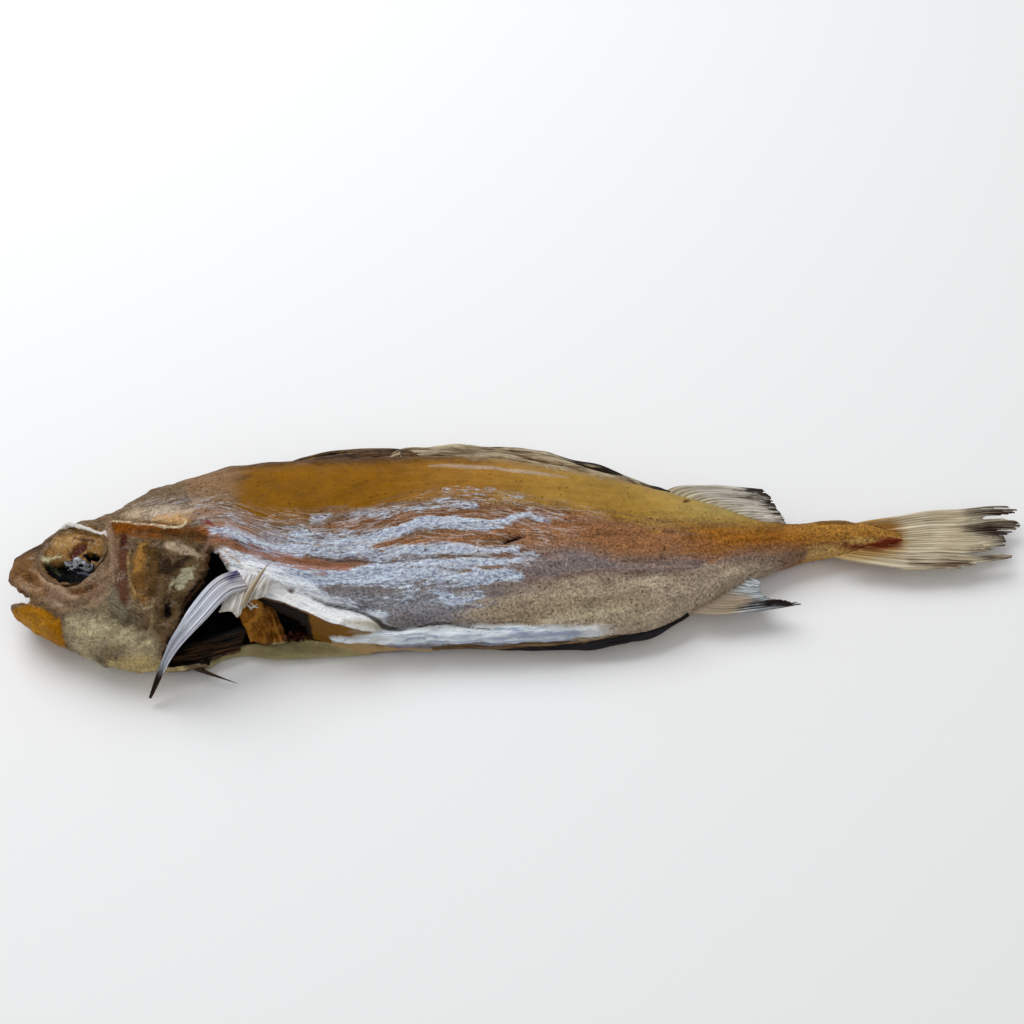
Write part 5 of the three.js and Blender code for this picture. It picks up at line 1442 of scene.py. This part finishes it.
REAR_BACK_RAYS = 16
rear_back = swept_place(
    169, 194.5, back_edge, back_ridge,
    along((0, 195.4), (0.25, 197.4), (0.5, 198.6), (0.75, 199.5), (1, 200.2)),
    along((0, 15.8), (0.25, 13), (0.5, 10), (0.75, 7.4), (1, 4.8)), bow=3.6,
)
rear_back_finish = fin_finish(
    "rear back fin", REAR_BACK_RAYS, (200, 186, 146), (214, 208, 194), (112, 90, 72), (52, 36, 30),
    tip_from=1.1, tip_soft=0.34, veined=0.6, stains=(("dark corner", (46, 28, 22), 14, 2.4),),
)
rear_back_splits = torn_between(REAR_BACK_RAYS, deep=0.1, seed=65)
rear_back_mesh = laid_sheet("rear fin", rear_back, 150, 40, thick=0.3, rays=REAR_BACK_RAYS,
                            ray_height=0.25, gone=rear_back_splits)
zones(rear_back_mesh, to_fish(rear_back_mesh), {"dark corner": (
    (189, 17.5, 0.6), (193, 17, 2.4), (196.5, 15, 3), (198, 11.5, 2.4), (199.5, 8, 1),
)})
place_piece("rear_back_fin", rear_back_mesh, rear_back_finish, "fin", "dorsal_fin_3")

REAR_VENT_RAYS = 13
rear_vent = swept_place(
    171, 188.5, belly_edge, belly_ridge,
    along((0, 200), (0.15, 197), (0.3, 193.6), (0.5, 191), (0.75, 190), (1, 190.6)),
    along((0, -20), (0.15, -19.2), (0.3, -18.2), (0.5, -16.4), (0.75, -14.4), (1, -12.6)), bow=-2.6,
)
VENT_STAINS = (("tan root", (172, 154, 132), 8, 2.4), ("dark tip", (34, 20, 18), 8, 1.6))
rear_vent_finish = fin_finish(
    "rear vent fin", REAR_VENT_RAYS, (178, 168, 150), (206, 214, 218), (104, 94, 86), (34, 22, 22),
    tip_from=0.95, tip_soft=0.3, veined=0.6, stains=VENT_STAINS,
)
rear_vent_splits = torn_between(REAR_VENT_RAYS, deep=0.08, seed=66)
rear_vent_mesh = laid_sheet("rear vent", rear_vent, 130, 36, thick=0.3, rays=REAR_VENT_RAYS,
                            ray_height=0.25, gone=rear_vent_splits)
zones(rear_vent_mesh, to_fish(rear_vent_mesh), {
    "tan root": ((170, -18, 5), (180, -18.6, 4.6), (185, -18, 2.6)),
    "dark tip": ((184, -20.2, 0.4), (190, -19.4, 1.2), (194, -18.8, 2), (202, -19.4, 4)),
})
place_piece("rear_vent_fin", rear_vent_mesh, rear_vent_finish, "fin", "anal_fin_2")

# Breast fin: it hangs forwards over the open gills, and its rays end together in a dark point.
BREAST_RAYS = 8
breast_spine = smooth_path(
    (60.6, -12.6, 21.4), (57, -14.4, 22.6), (53.9, -17.2, 22.5), (50.1, -21.6, 21.4),
    (47.3, -24.2, 19.6), (43.2, -26.8, 15), (39.8, -29, 9), (38, -31.2, 6), (36.1, -33.1, 2.6),
)
breast_width = along(
    (0, 6.4), (0.12, 6.2), (0.3, 5.6), (0.48, 4.6), (0.62, 3.1), (0.72, 1.9), (0.82, 1.2), (0.92, 0.8),
    (1, 0.2),
)


def breast_place(across, out):
    """The breast fin: a blade around its curled spine, as wide as breast_width says."""
    ahead = breast_spine(np.minimum(out + 0.02, 1)) - breast_spine(np.maximum(out - 0.02, 0))
    ahead /= np.linalg.norm(ahead, axis=1)[:, None]
    aside = np.stack([-ahead[:, 1], ahead[:, 0], 0 * out], axis=1)
    aside /= np.linalg.norm(aside, axis=1)[:, None]
    up = np.cross(ahead, aside)
    width = breast_width(out)
    crown = (0.07 * np.sin(across * math.pi) + 0.02 * np.sin(across * 11)) * width
    return breast_spine(out) + aside * (width * (across - 0.5))[:, None] + up * crown[:, None]


breast_finish = fin_finish(
    "breast fin", BREAST_RAYS, (210, 206, 206), (236, 240, 250), (104, 98, 116), (56, 36, 22),
    tip_from=0.72, veined=0.6, stains=(("bruise", (78, 70, 118), 3, 2.4),),
)
breast_mesh = laid_sheet("breast", breast_place, 110, 90, thick=0.25, rays=BREAST_RAYS, ray_height=0.35)
zones(breast_mesh, to_fish(breast_mesh), {"bruise": ((59, -10.6, 1.4), (58, -12.8, 1))})
place_piece("breast_fin", breast_mesh, breast_finish, "fin", "pectoral_fin")

# The torn skin at the breast fin's root, with its fringe.
web_root = smooth_path((68, -12, 20), (62, -11, 21), (55, -12.6, 21.8))
web_tip = smooth_path(
    (66.4, -15, 18.4), (64.6, -16.8, 18.6), (62.4, -17.4, 18.8), (61, -19, 19), (60.2, -19.6, 19),
    (59.2, -22, 19), (57.8, -20.8, 19.4), (54.8, -20.8, 19.4), (57, -19.2, 19.8), (55.2, -17, 20),
    (56.6, -17, 20.4), (54.2, -18, 20.8),
)


def web_place(across, out):
    """The torn web: it hangs from its root to its ragged edge and bulges a little between."""
    root, tip = web_root(across), web_tip(across)
    spots = root + (tip - root) * out[:, None]
    spots[:, 2] += 0.4 * np.sin(across * 13) * out + 0.7 * np.sin(out * math.pi)
    return spots


def thread(name, points, widths, sides=10, steps=40):
    """A round, tapering thread along a path; widths are (share, mm) pairs."""
    path, width = smooth_path(*points), along(*widths)

    def place(across, out):
        ahead = path(np.minimum(out + 0.01, 1)) - path(np.maximum(out - 0.01, 0))
        aside = np.cross(ahead, (0, 0, 1))
        aside /= np.linalg.norm(aside, axis=1)[:, None]
        up = np.cross(aside, ahead)
        up /= np.linalg.norm(up, axis=1)[:, None]
        turn = 2 * math.pi * across
        half = width(out) / 2 * np.sin(np.clip(out, 0.01, 0.99) * math.pi) ** 0.15
        return path(out) + (aside * np.cos(turn)[:, None] + up * np.sin(turn)[:, None]) * half[:, None]

    bm = new_grid(sides, steps)
    lay(bm, place)
    bmesh.ops.remove_doubles(bm, verts=bm.verts, dist=SAME_PLACE)
    bmesh.ops.holes_fill(bm, edges=bm.edges)
    bmesh.ops.recalc_face_normals(bm, faces=bm.faces[:])
    return mesh_from(bm, name)


web_finish = fin_finish("torn web", 12, (226, 226, 232), (228, 224, 216), (150, 140, 136),
                        (196, 186, 166), tip_from=0.9, tip_soft=0.14, veined=0.75)
web_mesh = laid_sheet("web", web_place, 140, 24, thick=0.25, rays=9, ray_height=0.2)
place_piece("torn_web", web_mesh, web_finish, "fin", "pectoral_web")
FRINGE = (
    ((61.4, -18.6, 19.2), (62.4, -19.6, 19.2), (62.6, -20.4, 19)),
    ((62, -17.8, 19.2), (63.4, -19.2, 19), (64.6, -19.6, 18.8)),
    ((62.2, -19.8, 19.2), (63.4, -19.4, 19.2), (64.2, -18.4, 19)),
)
FRINGE_WIDTHS = ((0, 0.5), (0.6, 0.4), (1, 0.1))
for number, points in enumerate(FRINGE, 1):
    fringe = thread("fringe", points, FRINGE_WIDTHS)
    place_piece(f"web_fringe_{number}", fringe, web_finish, "fin")
ray_finish = fin_finish("loose ray", 2, (206, 196, 174), (196, 182, 156), (134, 104, 70),
                        (168, 148, 120), tip_from=0.9, tip_soft=0.2, veined=0.9)
RAY_PATH = ((60.4, -19.4, 19.4), (62.4, -16.4, 21.4), (65, -13.2, 23.4), (67.5, -10.6, 25))
RAY_WIDTHS = ((0, 1.6), (0.3, 1.5), (0.7, 0.9), (1, 0.1))
place_piece("loose_ray", thread("loose ray", RAY_PATH, RAY_WIDTHS), ray_finish, "fin")
thread_finish = fin_finish("throat thread", 2, (96, 72, 48), (70, 50, 36), (40, 28, 22), (30, 22, 18),
                           tip_from=0.7, tip_soft=0.3)
THREAD_PATH = ((46, -25, 3.2), (51, -27.3, 2.4), (57.4, -29.7, 1.2))
THREAD_WIDTHS = ((0, 2), (0.25, 1.3), (0.6, 0.6), (1, 0.1))
place_piece("throat_thread", thread("throat thread", THREAD_PATH, THREAD_WIDTHS), thread_finish,
            "dark_fin", "pelvic_fin")


# ---- Table, light and camera ---------------------------------------------------------------
# A plain pale table top under a broad, soft window light from behind and above.

TABLE_SIZE = 3
CAMERA_AZIMUTH = math.radians(-4.3)
CAMERA_HEIGHT = math.radians(52)
CAMERA_DISTANCE = 0.45897
LOOKED_AT = Vector(SNOUT) + Vector((129.4, 20.1, 0)) * MM

bm = bmesh.new()
bmesh.ops.create_grid(bm, x_segments=1, y_segments=1, size=TABLE_SIZE / 2)
table = into_scene("table", mesh_from(bm, "table"))
table_finish, tree, shader = new_finish("table top", 0.9)
shader.inputs["Base Color"].default_value = seen(250, 250, 250)
table.data.materials.append(table_finish)


def soft_light(name, watts, size, place, tint):
    lamp = bpy.data.lights.new(name, "AREA")
    lamp.energy = watts
    lamp.size = size
    lamp.color = tint
    light = into_scene(name, lamp)
    light.location = place
    light.rotation_mode = "QUATERNION"
    light.rotation_quaternion = (-Vector(place)).to_track_quat("-Z", "Y")


soft_light("window", 6.5, 0.7, (-0.35, 0.5, 0.75), (0.96, 0.98, 1))
soft_light("room", 1.2, 1.2, (0.3, -0.7, 0.9), (1, 0.99, 0.97))
world = bpy.data.worlds.new("studio")
bpy.context.scene.world = world
world.use_nodes = True
world.node_tree.nodes["Background"].inputs["Color"].default_value = (1, 1, 1, 1)
world.node_tree.nodes["Background"].inputs["Strength"].default_value = 0.4
bpy.context.scene.view_settings.view_transform = "Standard"

back = Vector((
    math.sin(CAMERA_AZIMUTH) * math.cos(CAMERA_HEIGHT),
    -math.cos(CAMERA_AZIMUTH) * math.cos(CAMERA_HEIGHT),
    math.sin(CAMERA_HEIGHT),
))
lens = bpy.data.cameras.new("camera")
lens.lens = 60
lens.sensor_width = 36
lens.clip_start = 0.01
camera = into_scene("camera", lens)
camera.location = LOOKED_AT + back * CAMERA_DISTANCE
camera.rotation_mode = "QUATERNION"
camera.rotation_quaternion = (-back).to_track_quat("-Z", "Y")
bpy.context.scene.camera = camera
